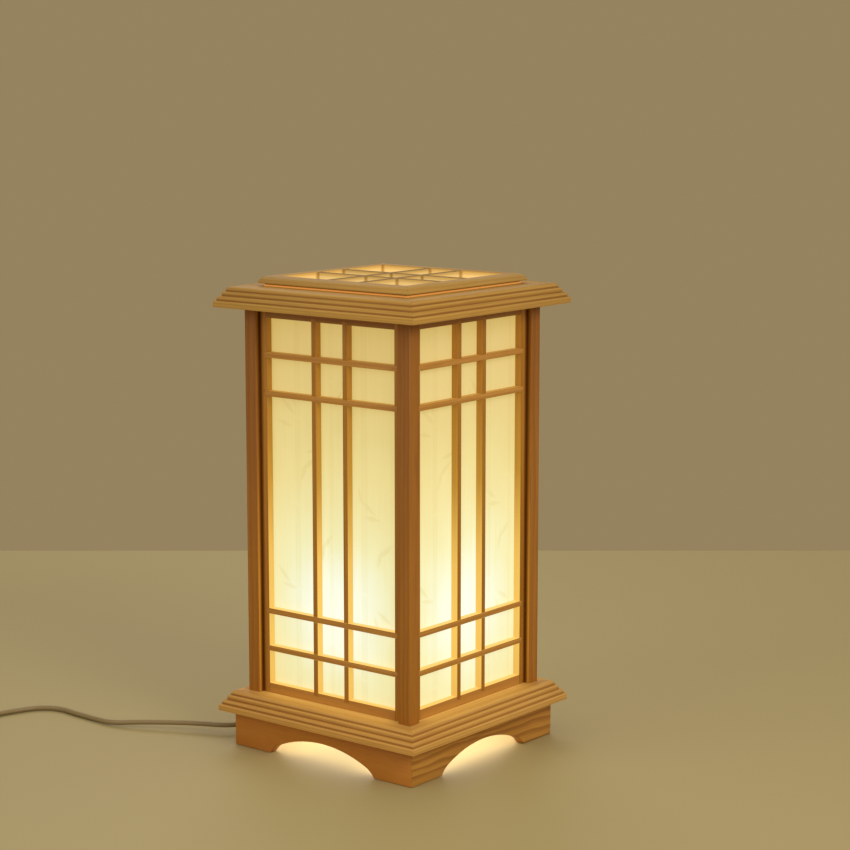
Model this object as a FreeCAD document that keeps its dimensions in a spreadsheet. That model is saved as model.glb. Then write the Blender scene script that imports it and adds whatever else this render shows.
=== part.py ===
import FreeCAD, Part
import math
import operator
import os
import Sketcher
from types import SimpleNamespace

# A wooden lantern lamp: a square plinth with arched feet, a moulded base ring, four
# posts holding latticed paper windows, a moulded cap ring and a lift-off lid with a
# grille. The lamp holder stands on a strip under the base ring. The mains lead runs
# out through the arch on the left, to an in-line rocker switch, a tied coil and a plug.
# The origin is the middle of the footprint, on the floor. +Z is up, the front is -Y
# and the right-hand side is +X.

# Two lengths closer than this, in millimetres, are the same
SAME_LENGTH = 1e-6
# The share of a straight run that the arc at its end takes, and the least arc height
RUN_SHARE = 0.45
TINY_SAGITTA = 1e-4
# How far a tube's volume may be from its section times its length
VOLUME_SHARE = 0.01

Vector = FreeCAD.Vector
Placement = FreeCAD.Placement
Rotation = FreeCAD.Rotation
UP = Vector(0, 0, 1)
LEFTWARD = Vector(-1, 0, 0)
RIGHTWARD = Vector(1, 0, 0)
FORWARD = Vector(0, -1, 0)

# Driving dimensions, in millimetres unless the name says share, count or angle
SIZES = {
    # plinth, set back under the edge of the base ring; each arch is one flat arc between
    # its shoulders, and a tighter arc runs from each shoulder down to the foot
    "plinth_setback": 10.5,
    "plinth_height": 32.3,
    "plinth_board": 9.0,
    "arch_span": 120.0,
    "arch_rise": 19.3,
    "shoulder_span": 102.0,
    "shoulder_height": 8.0,
    "foot_radius": 20.9,
    # moulded rings, with four stepped tiers given by inset, top and nose radius; they
    # overhang the posts and reach in past the paper
    "ring_overhang": 19.5,
    "ring_reach": 7.8,
    "ring_thick": 18.0,
    "fascia_top": 5.9,
    "fascia_nose": 2.0,
    "bead_inset": 2.2,
    "bead_top": 9.8,
    "bead_nose": 3.0,
    "band_inset": 5.6,
    "band_top": 14.0,
    "band_nose": 2.2,
    "crown_inset": 8.0,
    "crown_nose": 3.8,
    # posts
    "post_span": 186.0,
    "post_side": 13.0,
    "post_length": 346.8,
    "post_edge": 0.8,
    "tenon_side": 7.0,
    "tenon_length": 7.0,
    "tenon_gap": 0.1,
    # latticed windows
    "window_recess": 5.3,
    "lattice_depth": 7.0,
    "lattice_bar": 4.9,
    "stile_width": 7.8,
    "low_rail": 9.0,
    "high_rail": 8.8,
    "upright_centres": 35.2,
    "first_bar_up": 41.1,
    "second_bar_up": 75.2,
    "first_bar_down": 41.5,
    "second_bar_down": 75.7,
    "lap_length": 3.0,
    "lap_share": 0.5,
    "paper_thick": 0.4,
    "paper_gap": 0.2,
    # lid, which laps onto the cap ring; its outer edge is rebated underneath, upright for
    # a short way and then rounded over to the top
    "lid_lap": 12.0,
    "lid_board": 14.0,
    "lid_thick": 7.5,
    "lid_rebate_width": 4.4,
    "lid_rebate_height": 1.4,
    "lid_edge_top": 2.7,
    "lid_nose": 8.0,
    "lid_nose_reach": 5.2,
    "grille_bar": 6.0,
    "grille_centres": 35.2,
    "grille_depth": 6.0,
    "grille_drop": 0.6,
    "diffuser_thick": 1.2,
    "diffuser_inset": 4.0,
    "lip_thick": 6.0,
    "lip_depth": 8.0,
    "lip_gap": 0.5,
    "strip_end_gap": 0.3,
    # lamp strip and its screws
    "strip_width": 48.0,
    "strip_thick": 9.0,
    "strip_screw_centres": 24.0,
    "screw_shank": 3.5,
    "screw_head": 7.0,
    "screw_head_height": 2.4,
    "screw_bite": 10.0,
    "screw_gap": 0.1,
    # lamp holder
    "flange_width": 48.0,
    "flange_thick": 3.5,
    "holder_width": 37.0,
    "holder_base_height": 20.0,
    "holder_shell_height": 30.0,
    "shell_top_width": 34.4,
    "socket_bore": 29.2,
    "sleeve_wall": 0.7,
    "sleeve_gap": 0.1,
    "contact_width": 10.0,
    "contact_height": 2.5,
    "wire_hole": 5.2,
    "holder_screw_centres": 42.6,
    "holder_screw_shank": 2.5,
    "holder_screw_head": 4.6,
    "holder_screw_head_height": 1.6,
    "holder_screw_bite": 6.0,
    # bulb
    "bulb_gap": 0.3,
    "cap_tip_width": 9.0,
    "cap_width": 26.4,
    "cap_height": 28.0,
    "cap_shoulder": 4.0,
    "glass_width": 60.0,
    "glass_neck_length": 10.4,
    "glass_neck_width": 26.0,
    "glass_wall": 1.0,
    "glass_flank_angle": 27.0,
    # mains lead and its grip under the strip
    "cord_width": 4.6,
    "grip_length": 18.0,
    "grip_width": 16.0,
    "grip_height": 8.0,
    "grip_offset": 5.0,
    "relief_length": 18.0,
    "relief_width": 8.0,
    "relief_tip_width": 6.0,
    # in-line switch
    "switch_length": 58.0,
    "switch_width": 22.0,
    "switch_height": 15.0,
    "switch_corner": 5.0,
    "switch_edge": 2.0,
    "switch_split": 7.0,
    "collar_width": 9.0,
    "collar_length": 5.0,
    "rocker_length": 20.0,
    "rocker_width": 10.0,
    "rocker_middle": 2.2,
    "rocker_pivot_drop": 2.8,
    "rocker_keel": 4.5,
    "rocker_keel_share": 0.45,
    "rocker_gap": 0.3,
    "rocker_end_gap": 0.8,
    "rocker_angle": 8.0,
    "trunnion_width": 2.4,
    "trunnion_reach": 1.5,
    "trunnion_gap": 0.05,
    # coil of the put-away length
    "coil_gap": 0.5,
    "coil_across_share": 11.1,
    "coil_half_turn_count": 7,
    "climb_step": 1.6,
    "tie_thick": 0.7,
    "tie_width": 6.0,
    "tie_gap": 0.3,
    # plug
    "plug_relief_length": 18.0,
    "plug_relief_width": 9.0,
    "plug_relief_tip_width": 6.4,
    "plug_length": 30.0,
    "plug_width": 26.0,
    "plug_height": 14.0,
    "plug_corner": 4.0,
    "plug_back_share": 0.66,
    "pin_centres": 12.7,
    "pin_thick": 1.5,
    "pin_width": 6.3,
    "pin_length": 17.0,
    # how far a cutting shape runs past what it cuts
    "overrun": 2.0,
}

SIDES = {"front": 0, "right": 90, "back": 180, "left": 270}
CORNERS = {"front_right": 0, "back_right": 90, "back_left": 180, "front_left": 270}

# The lead's route from its grip to the switch, then from the switch to the coil and
# from the coil to the plug, each later one counted from where it starts
ROUTE_TO_SWITCH = [
    (-49.0, 0.0, 19.3),
    (-67.0, -4.0, 15.8),
    (-84.0, -14.0, 10.8),
    (-101.0, -30.0, 8.0),
    (-113.0, -56.0, 7.7),
    (-128.5, -83.0, 7.7),
    (-156.0, -94.5, 7.7),
    (-182.0, -108.5, 7.0),
    (-208.0, -122.0, 5.6),
    (-231.0, -132.5, 3.0),
    (-254.0, -131.4, 2.45),
    (-279.0, -130.4, 2.45),
    (-305.0, -127.5, 2.45),
    (-323.0, -138.0, 2.45),
    (-332.0, -157.0, 2.45),
    (-337.0, -176.0, 2.4),
    (-338.7, -188.0, 4.2),
    (-339.0, -199.5, 7.0),
    (-339.0, -209.0, 7.0),
]
ROUTE_TO_COIL = [
    (0.0, -11.0, 0.0),
    (0.0, -26.0, -3.7),
    (0.0, -38.0, -3.7),
]
ROUTE_TO_PLUG = [
    (9.0, 0.0, 0.0),
    (22.0, -0.8, -3.4),
    (34.0, -0.8, -4.0),
    (45.0, 0.0, -1.4),
    (54.0, 0.0, -1.4),
]


class Size:
    """A size that carries its value and the sheet formula that it comes from."""

    def __init__(self, value, formula):
        self.value = value
        self.formula = formula

    def __add__(self, other):
        return joined(operator.add, "+", self, other)

    def __radd__(self, other):
        return joined(operator.add, "+", other, self)

    def __sub__(self, other):
        return joined(operator.sub, "-", self, other)

    def __rsub__(self, other):
        return joined(operator.sub, "-", other, self)

    def __mul__(self, other):
        return joined(operator.mul, "*", self, other)

    def __rmul__(self, other):
        return joined(operator.mul, "*", other, self)

    def __truediv__(self, other):
        return joined(operator.truediv, "/", self, other)

    def __neg__(self):
        return Size(-self.value, f"(-{self.formula})")


def as_size(number):
    return number if isinstance(number, Size) else Size(number, f"{number}")


def joined(work, sign, left, right):
    left, right = as_size(left), as_size(right)
    return Size(work(left.value, right.value), f"({left.formula} {sign} {right.formula})")


def sine(angle):
    return Size(math.sin(math.radians(angle.value)), f"sin({angle.formula} * 1 deg)")


def cosine(angle):
    return Size(math.cos(math.radians(angle.value)), f"cos({angle.formula} * 1 deg)")


doc = FreeCAD.newDocument("Lantern")
sheet = doc.addObject("Spreadsheet::Sheet", "Sizes")
for row, (alias, number) in enumerate(SIZES.items(), start=1):
    sheet.set(f"A{row}", alias)
    sheet.set(f"B{row}", str(number))
    sheet.setAlias(f"B{row}", alias)
doc.recompute()
d = SimpleNamespace(**{alias: Size(number, f"Sizes.{alias}") for alias, number in SIZES.items()})

parts = {}


def new_body(label):
    body = doc.addObject("PartDesign::Body", label)
    body.Label = label
    body.AllowCompound = True
    return body


def keep(label, piece):
    """Registers a finished sub-part under its node name."""
    piece.Label = label
    parts[label] = piece
    return piece


def sketch_on(body, role, offset=0):
    """A new sketch on one of the body's own origin planes, moved along its normal."""
    plane = next(f for f in body.Origin.OriginFeatures if f.Role == role)
    sketch = body.newObject("Sketcher::SketchObject", f"{body.Name}_sketch")
    sketch.AttachmentSupport = [(plane, "")]
    sketch.MapMode = "FlatFace"
    if isinstance(offset, Size):
        sketch.AttachmentOffset = Placement(Vector(0, 0, offset.value), Rotation())
        sketch.setExpression("AttachmentOffset.Base.z", offset.formula)
    return sketch


def hold_point(sketch, shape, end, x, y):
    """Ties one end of a sketch line to its two sizes; a plain 0 puts it on the axis."""
    for kind, axis, size in (("DistanceX", -2, x), ("DistanceY", -1, y)):
        if isinstance(size, Size):
            rule = Sketcher.Constraint(kind, -1, 1, shape, end, size.value)
            number = sketch.addConstraint(rule)
            sketch.setExpression(f"Constraints[{number}]", size.formula)
        else:
            sketch.addConstraint(Sketcher.Constraint("PointOnObject", shape, end, axis))


def arc_between(start, end, radius, turn):
    """A minor arc; turn is 1 when it runs counter-clockwise and -1 when clockwise."""
    chord = end - start
    side = Vector(-chord.y, chord.x, 0).normalize() * turn
    reach = math.sqrt(max(radius**2 - (chord.Length / 2) ** 2, 0))
    middle = (start + end) / 2 + side * reach
    first, last = (start, end) if turn > 0 else (end, start)
    angles = [math.atan2(p.y - middle.y, p.x - middle.x) for p in (first, last)]
    return Part.ArcOfCircle(Part.Circle(middle, UP, radius), *angles)


def outline(sketch, *stops):
    """A closed outline through stops (x, y), or (x, y, radius, turn) for an arc to there."""
    base = sketch.GeometryCount
    points = [Vector(as_size(s[0]).value, as_size(s[1]).value, 0) for s in stops]
    ends = []
    for number, stop in enumerate(stops):
        start, end = points[number - 1], points[number]
        if len(stop) == 2:
            sketch.addGeometry(Part.LineSegment(start, end), False)
            ends.append((1, 2))
        else:
            radius, turn = stop[2], stop[3]
            sketch.addGeometry(arc_between(start, end, radius.value, turn), False)
            rule = Sketcher.Constraint("Radius", base + number, radius.value)
            size = sketch.addConstraint(rule)
            sketch.setExpression(f"Constraints[{size}]", radius.formula)
            ends.append((1, 2) if turn > 0 else (2, 1))
    for number, stop in enumerate(stops):
        after = (number + 1) % len(stops)
        here = (base + number, ends[number][1], base + after, ends[after][0])
        sketch.addConstraint(Sketcher.Constraint("Coincident", *here))
        hold_point(sketch, base + number, ends[number][1], stop[0], stop[1])


def rectangle(sketch, left, low, right, high):
    outline(sketch, (left, low), (right, low), (right, high), (left, high))


def rounded_rectangle(sketch, half_x, half_y, radius, middle=0):
    near_x, near_y = half_x - radius, half_y - radius
    outline(
        sketch,
        (near_x, middle - half_y),
        (half_x, middle - near_y, radius, 1),
        (half_x, middle + near_y),
        (near_x, middle + half_y, radius, 1),
        (-near_x, middle + half_y),
        (-half_x, middle + near_y, radius, 1),
        (-half_x, middle - near_y),
        (-near_x, middle - half_y, radius, 1),
    )


def circle(sketch, x, y, radius):
    middle = Vector(as_size(x).value, as_size(y).value, 0)
    shape = sketch.addGeometry(Part.Circle(middle, UP, radius.value), False)
    size = sketch.addConstraint(Sketcher.Constraint("Radius", shape, radius.value))
    sketch.setExpression(f"Constraints[{size}]", radius.formula)
    hold_point(sketch, shape, 3, x, y)


def pad(body, sketch, length, backwards=False, both_ways=False):
    made = body.newObject("PartDesign::Pad", f"{body.Name}_pad")
    made.Profile = sketch
    made.setExpression("Length", length.formula)
    made.Reversed = backwards
    made.Midplane = both_ways
    return made


def pocket(body, sketch, depth, backwards=False, both_ways=False):
    """Cuts the sketch into the body, and stops the build if it removes nothing."""
    doc.recompute()
    before = body.Shape.Volume
    made = body.newObject("PartDesign::Pocket", f"{body.Name}_pocket")
    made.Profile = sketch
    made.setExpression("Length", depth.formula)
    made.Reversed = backwards
    made.Midplane = both_ways
    doc.recompute()
    if body.Shape.Volume >= before:
        raise RuntimeError(f"a pocket of {body.Label} cuts nothing")
    return made


def revolve(body, sketch):
    made = body.newObject("PartDesign::Revolution", f"{body.Name}_turned")
    made.Profile = sketch
    made.ReferenceAxis = (sketch, ["V_Axis"])
    made.Angle = 360
    return made


def fillet(body, radius, wanted):
    """Rounds the edges of the body's tip that the test picks."""
    doc.recompute()
    tip = body.Tip
    names = [f"Edge{n}" for n, e in enumerate(tip.Shape.Edges, start=1) if wanted(e)]
    made = body.newObject("PartDesign::Fillet", f"{body.Name}_fillet")
    made.Base = (tip, names)
    made.setExpression("Radius", radius.formula)
    return made


def is_upright(edge):
    ends = [v.Point for v in edge.Vertexes]
    if len(ends) != 2:
        return False
    return math.hypot(ends[0].x - ends[1].x, ends[0].y - ends[1].y) < SAME_LENGTH


def place(piece, height=0, angle=0, x=0, y=0):
    """Turns the piece about the vertical and lifts it to its height, bound to the sheet."""
    spot = Vector(as_size(x).value, as_size(y).value, as_size(height).value)
    piece.Placement = Placement(spot, Rotation(UP, angle))
    for axis, size in (("x", x), ("y", y), ("z", height)):
        if isinstance(size, Size):
            piece.setExpression(f"Placement.Base.{axis}", size.formula)


# Levels and faces that several pieces share
base_level = d.plinth_height
post_level = base_level + d.ring_thick
cap_level = post_level + d.post_length
lid_level = cap_level + d.ring_thick
rail_level = lid_level + d.diffuser_thick
post_outside = d.post_span / 2
post_inside = post_outside - d.post_side
window_front = post_outside - d.window_recess
window_back = window_front - d.lattice_depth
ring_half = post_outside + d.ring_overhang
ring_inside = window_back - d.paper_thick - d.ring_reach
plinth_half = ring_half - d.plinth_setback
plinth_inside = plinth_half - d.plinth_board
lid_half = ring_inside + d.lid_lap
lid_inside = lid_half - d.lid_board
strip_screw_y = (ring_inside + plinth_inside) / 2


def mitre(body, half, inside, depth):
    """Cuts both ends of a front board at 45 degrees, from its underside up."""
    near = inside - d.overrun
    far = half + d.overrun
    ends = sketch_on(body, "XY_Plane")
    outline(ends, (near, -near), (far, -far), (far, -near))
    outline(ends, (-near, -near), (-far, -near), (-far, -far))
    pocket(body, ends, depth + d.overrun, backwards=True)


def plinth_board(side, angle):
    """One side of the plinth, with the arch between its two feet."""
    arch_half = d.arch_span / 2
    shoulder_half = d.shoulder_span / 2
    flat_rise = d.arch_rise - d.shoulder_height
    arch_radius = (shoulder_half * shoulder_half + flat_rise * flat_rise) / (2 * flat_rise)
    body = new_body(f"plinth_{side}")
    face = sketch_on(body, "XZ_Plane", plinth_inside)
    outline(
        face,
        (-plinth_half, 0),
        (-arch_half, 0),
        (-shoulder_half, d.shoulder_height, d.foot_radius, -1),
        (0, d.arch_rise, arch_radius, -1),
        (shoulder_half, d.shoulder_height, arch_radius, -1),
        (arch_half, 0, d.foot_radius, -1),
        (plinth_half, 0),
        (plinth_half, d.plinth_height),
        (-plinth_half, d.plinth_height),
    )
    pad(body, face, d.plinth_board)
    mitre(body, plinth_half, plinth_inside, d.plinth_height)
    place(body, 0, angle)
    keep(f"plinth_{side}", body)


def ring_board(name, side, angle, level, on_top):
    """One mitred board of a moulded ring, with half a mortise for each post beside it."""
    body = new_body(f"{name}_{side}")
    section = sketch_on(body, "YZ_Plane")

    def tier(face, top, nose):
        """The two stops of one tier: the foot of its rounded nose, and the nose's end."""
        return (face, top - nose), (face + nose, top, nose, -1)

    bead_face = d.bead_inset - ring_half
    band_face = d.band_inset - ring_half
    crown_face = d.crown_inset - ring_half
    outline(
        section,
        (-ring_inside, 0),
        (-ring_half, 0),
        *tier(-ring_half, d.fascia_top, d.fascia_nose),
        (bead_face, d.fascia_top),
        *tier(bead_face, d.bead_top, d.bead_nose),
        (band_face, d.bead_top),
        *tier(band_face, d.band_top, d.band_nose),
        (crown_face, d.band_top),
        *tier(crown_face, d.ring_thick, d.crown_nose),
        (-ring_inside, d.ring_thick),
    )
    pad(body, section, 2 * ring_half, both_ways=True)
    mitre(body, ring_half, ring_inside, d.ring_thick)

    mortise_half = d.tenon_side / 2 + d.tenon_gap
    mortise_place = post_outside - d.post_side / 2
    face = sketch_on(body, "XY_Plane", d.ring_thick if on_top else 0)
    for way in (-1, 1):
        near = way * mortise_place - mortise_half
        far = way * mortise_place + mortise_half
        rectangle(face, near, -mortise_place - mortise_half, far, mortise_half - mortise_place)
    pocket(body, face, d.tenon_length + d.tenon_gap, backwards=not on_top)

    if on_top and side in ("front", "back"):
        holes = sketch_on(body, "XY_Plane")
        for way in (-1, 1):
            x = way * d.strip_screw_centres / 2
            circle(holes, x, -strip_screw_y, d.screw_shank / 2 + d.screw_gap)
        pocket(body, holes, d.screw_bite + d.screw_gap, backwards=True)
    place(body, level, angle)
    keep(f"{name}_{side}", body)


def post(corner, angle):
    """A corner post with eased edges and a stub tenon at each end."""
    body = new_body(f"post_{corner}")
    section = sketch_on(body, "XY_Plane")
    rectangle(section, post_inside, -post_outside, post_outside, -post_inside)
    pad(body, section, d.post_length)
    fillet(body, d.post_edge, is_upright)
    middle = post_outside - d.post_side / 2
    low, high = middle - d.tenon_side / 2, middle + d.tenon_side / 2
    tenon = sketch_on(body, "XY_Plane", -d.tenon_length)
    rectangle(tenon, low, -high, high, -low)
    pad(body, tenon, d.post_length + 2 * d.tenon_length)
    place(body, post_level, angle)
    keep(f"post_{corner}", body)


# The lattice of a window, in its own frame: heights count from the foot of the posts
opening_half = post_inside - d.stile_width
opening_low = d.low_rail
opening_high = d.post_length - d.high_rail
upright_half = d.lattice_bar / 2
crossbar_heights = [
    d.first_bar_up,
    d.second_bar_up,
    d.post_length - d.second_bar_down,
    d.post_length - d.first_bar_down,
]
upright_places = [-d.upright_centres / 2, d.upright_centres / 2]
front_lap = d.lattice_depth * d.lap_share
back_lap = d.lattice_depth - front_lap


def crossing_strips(sketch, left, right):
    """A strip across the window at the height of each crossbar."""
    for height in crossbar_heights:
        rectangle(sketch, left, height - upright_half, right, height + upright_half)


def window(side, angle):
    """Stiles, rails, half-lapped bars and the paper behind them, between two posts."""
    lap_half = opening_half + d.lap_length
    past_half = lap_half + d.overrun

    stiles = new_body(f"stiles_{side}")
    face = sketch_on(stiles, "XZ_Plane", window_back)
    rectangle(face, -post_inside, 0, -opening_half, d.post_length)
    rectangle(face, opening_half, 0, post_inside, d.post_length)
    pad(stiles, face, d.lattice_depth)
    housings = sketch_on(stiles, "XZ_Plane", window_front)
    crossing_strips(housings, -lap_half, lap_half)
    pocket(stiles, housings, front_lap)

    rails = new_body(f"rails_{side}")
    face = sketch_on(rails, "XZ_Plane", window_back)
    rectangle(face, -opening_half, 0, opening_half, opening_low)
    rectangle(face, -opening_half, opening_high, opening_half, d.post_length)
    pad(rails, face, d.lattice_depth)
    housings = sketch_on(rails, "XZ_Plane", window_front)
    low, high = opening_low - d.lap_length, opening_high + d.lap_length
    for x in upright_places:
        rectangle(housings, x - upright_half, low, x + upright_half, high)
    pocket(rails, housings, front_lap)

    frame = doc.addObject("Part::Compound", f"window_frame_{side}")
    frame.Links = [stiles, rails]
    place(frame, post_level, angle)
    keep(f"window_frame_{side}", frame)

    uprights = new_body(f"uprights_{side}")
    face = sketch_on(uprights, "XZ_Plane", window_back)
    for x in upright_places:
        rectangle(face, x - upright_half, low, x + upright_half, high)
    pad(uprights, face, d.lattice_depth)
    crossings = sketch_on(uprights, "XZ_Plane", window_front)
    crossing_strips(crossings, -lap_half, lap_half)
    pocket(uprights, crossings, front_lap)
    ends = sketch_on(uprights, "XZ_Plane", window_back)
    rectangle(ends, -lap_half, low - d.overrun, lap_half, opening_low)
    rectangle(ends, -lap_half, opening_high, lap_half, high + d.overrun)
    pocket(uprights, ends, back_lap, backwards=True)
    place(uprights, post_level, angle)
    keep(f"uprights_{side}", uprights)

    crossbars = new_body(f"crossbars_{side}")
    face = sketch_on(crossbars, "XZ_Plane", window_back)
    crossing_strips(face, -lap_half, lap_half)
    pad(crossbars, face, d.lattice_depth)
    laps = sketch_on(crossbars, "XZ_Plane", window_back)
    for x in upright_places:
        rectangle(laps, x - upright_half, opening_low, x + upright_half, opening_high)
    rectangle(laps, -past_half, opening_low, -opening_half, opening_high)
    rectangle(laps, opening_half, opening_low, past_half, opening_high)
    pocket(crossbars, laps, back_lap, backwards=True)
    place(crossbars, post_level, angle)
    keep(f"crossbars_{side}", crossbars)

    paper = new_body(f"paper_{side}")
    half = post_inside - d.paper_gap
    face = sketch_on(paper, "XZ_Plane", window_back - d.paper_thick)
    rectangle(face, -half, d.paper_gap, half, d.post_length - d.paper_gap)
    pad(paper, face, d.paper_thick)
    place(paper, post_level, angle)
    keep(f"paper_{side}", paper)


def lid_board(side, angle):
    """One mitred side of the lid frame, rebated and rounded along its outer edge."""
    rebate = d.lid_rebate_width - lid_half
    body = new_body(f"lid_{side}")
    section = sketch_on(body, "YZ_Plane")
    outline(
        section,
        (-lid_inside, 0),
        (rebate, 0),
        (rebate, d.lid_rebate_height),
        (-lid_half, d.lid_rebate_height),
        (-lid_half, d.lid_edge_top),
        (d.lid_nose_reach - lid_half, d.lid_thick, d.lid_nose, -1),
        (-lid_inside, d.lid_thick),
    )
    pad(body, section, 2 * lid_half, both_ways=True)
    mitre(body, lid_half, lid_inside, d.lid_thick)
    place(body, rail_level, angle)
    keep(f"lid_{side}", body)


def grille_bars(label, angle, lap_on_top):
    """Two bars across the lid, halved where they meet the other two."""
    half_bar = d.grille_bar / 2
    top = d.lid_thick - d.grille_drop
    low = top - d.grille_depth
    places = [-d.grille_centres / 2, d.grille_centres / 2]
    body = new_body(label)
    plan = sketch_on(body, "XY_Plane", low)
    for y in places:
        rectangle(plan, -lid_inside, y - half_bar, lid_inside, y + half_bar)
    pad(body, plan, d.grille_depth)
    laps = sketch_on(body, "XY_Plane", top if lap_on_top else low)
    for x in places:
        rectangle(laps, x - half_bar, -lid_inside, x + half_bar, lid_inside)
    pocket(body, laps, d.grille_depth / 2, backwards=not lap_on_top)
    place(body, rail_level, angle)
    keep(label, body)


def lid_sheet():
    """The milky sheet under the lid frame; its edge shows as a thin bright line."""
    half = lid_half - d.diffuser_inset
    body = new_body("lid_diffuser")
    plan = sketch_on(body, "XY_Plane")
    rectangle(plan, -half, -half, half, half)
    pad(body, plan, d.diffuser_thick)
    place(body, lid_level)
    keep("lid_diffuser", body)


def lid_lip():
    """Four strips under the lid that drop into the cap ring and centre the lid."""
    outside = ring_inside - d.lip_gap
    inside = outside - d.lip_thick
    short = inside - d.strip_end_gap
    body = new_body("lid_lip")
    plan = sketch_on(body, "XY_Plane")
    rectangle(plan, -outside, -outside, outside, -inside)
    rectangle(plan, -outside, inside, outside, outside)
    rectangle(plan, -outside, -short, -inside, short)
    rectangle(plan, inside, -short, outside, short)
    pad(body, plan, d.lip_depth, backwards=True)
    place(body, lid_level)
    keep("lid_lip", body)


# The lamp strip lies against the underside of the base ring
strip_level = base_level - d.strip_thick
strip_screw_x = d.strip_screw_centres / 2
holder_screw_x = d.holder_screw_centres / 2


def lamp_strip():
    """The wooden strip that carries the lamp holder, screwed up into the base ring."""
    half_length = plinth_inside - d.strip_end_gap
    half_width = d.strip_width / 2
    body = new_body("lamp_strip")
    plan = sketch_on(body, "XY_Plane")
    rectangle(plan, -half_width, -half_length, half_width, half_length)
    pad(body, plan, d.strip_thick)
    holes = sketch_on(body, "XY_Plane")
    circle(holes, 0, 0, d.wire_hole / 2)
    for x in (-strip_screw_x, strip_screw_x):
        for y in (-strip_screw_y, strip_screw_y):
            circle(holes, x, y, d.screw_shank / 2 + d.screw_gap)
    pocket(body, holes, d.strip_thick + d.overrun, backwards=True)
    pilots = sketch_on(body, "XY_Plane", d.strip_thick)
    for y in (-holder_screw_x, holder_screw_x):
        circle(pilots, 0, y, d.holder_screw_shank / 2 + d.screw_gap)
    pocket(body, pilots, d.holder_screw_bite + d.screw_gap)
    place(body, strip_level)
    keep("lamp_strip", body)


def strip_screws():
    """Four pan-head wood screws, from under the strip into the base ring."""
    body = new_body("strip_screws")
    shanks = sketch_on(body, "XY_Plane")
    heads = sketch_on(body, "XY_Plane")
    for x in (-strip_screw_x, strip_screw_x):
        for y in (-strip_screw_y, strip_screw_y):
            circle(shanks, x, y, d.screw_shank / 2)
            circle(heads, x, y, d.screw_head / 2)
    pad(body, shanks, d.strip_thick + d.screw_bite)
    pad(body, heads, d.screw_head_height, backwards=True)
    place(body, strip_level)
    keep("strip_screws", body)


def holder_base():
    """The moulded foot of the lamp holder, with a screwed flange and a wire hole."""
    wire, flange, wall = d.wire_hole / 2, d.flange_width / 2, d.holder_width / 2
    body = new_body("holder_base")
    section = sketch_on(body, "XZ_Plane")
    outline(
        section,
        (wire, 0),
        (flange, 0),
        (flange, d.flange_thick),
        (wall, d.flange_thick),
        (wall, d.holder_base_height),
        (wire, d.holder_base_height),
    )
    revolve(body, section)
    holes = sketch_on(body, "XY_Plane")
    for y in (-holder_screw_x, holder_screw_x):
        circle(holes, 0, y, d.holder_screw_shank / 2 + d.screw_gap)
    pocket(body, holes, d.flange_thick + d.overrun, backwards=True)
    place(body, base_level)
    keep("holder_base", body)


def holder_screws():
    """Two small screws through the flange into the strip."""
    body = new_body("holder_screws")
    shanks = sketch_on(body, "XY_Plane", d.flange_thick)
    heads = sketch_on(body, "XY_Plane", d.flange_thick)
    for y in (-holder_screw_x, holder_screw_x):
        circle(shanks, 0, y, d.holder_screw_shank / 2)
        circle(heads, 0, y, d.holder_screw_head / 2)
    pad(body, shanks, d.flange_thick + d.holder_screw_bite, backwards=True)
    pad(body, heads, d.holder_screw_head_height)
    place(body, base_level)
    keep("holder_screws", body)


shell_level = base_level + d.holder_base_height


def holder_shell():
    """The tapered barrel of the lamp holder."""
    bore, low, top = d.socket_bore / 2, d.holder_width / 2, d.shell_top_width / 2
    body = new_body("holder_shell")
    section = sketch_on(body, "XZ_Plane")
    outline(
        section,
        (bore, 0),
        (low, 0),
        (top, d.holder_shell_height),
        (bore, d.holder_shell_height),
    )
    revolve(body, section)
    place(body, shell_level)
    keep("holder_shell", body)


def holder_contacts():
    """The brass sleeve that takes the bulb's thread, and the contact at its middle."""
    outside = d.socket_bore / 2 - d.sleeve_gap
    inside = outside - d.sleeve_wall
    top = d.holder_shell_height - d.sleeve_wall
    body = new_body("holder_contacts")
    section = sketch_on(body, "XZ_Plane")
    outline(section, (inside, 0), (outside, 0), (outside, top), (inside, top))
    width = d.contact_width / 2
    outline(section, (0, 0), (width, 0), (width, d.contact_height), (0, d.contact_height))
    revolve(body, section)
    place(body, shell_level)
    keep("holder_contacts", body)


bulb_level = shell_level + d.contact_height + d.bulb_gap


def bulb_cap():
    """The bulb's screw cap, closed by its insulator and tip."""
    tip, wide = d.cap_tip_width / 2, d.cap_width / 2
    body = new_body("bulb_cap")
    section = sketch_on(body, "XZ_Plane")
    outline(
        section,
        (0, 0),
        (tip, 0),
        (wide, d.cap_shoulder),
        (wide, d.cap_height),
        (0, d.cap_height),
    )
    revolve(body, section)
    place(body, bulb_level)
    keep("bulb_cap", body)


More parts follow.
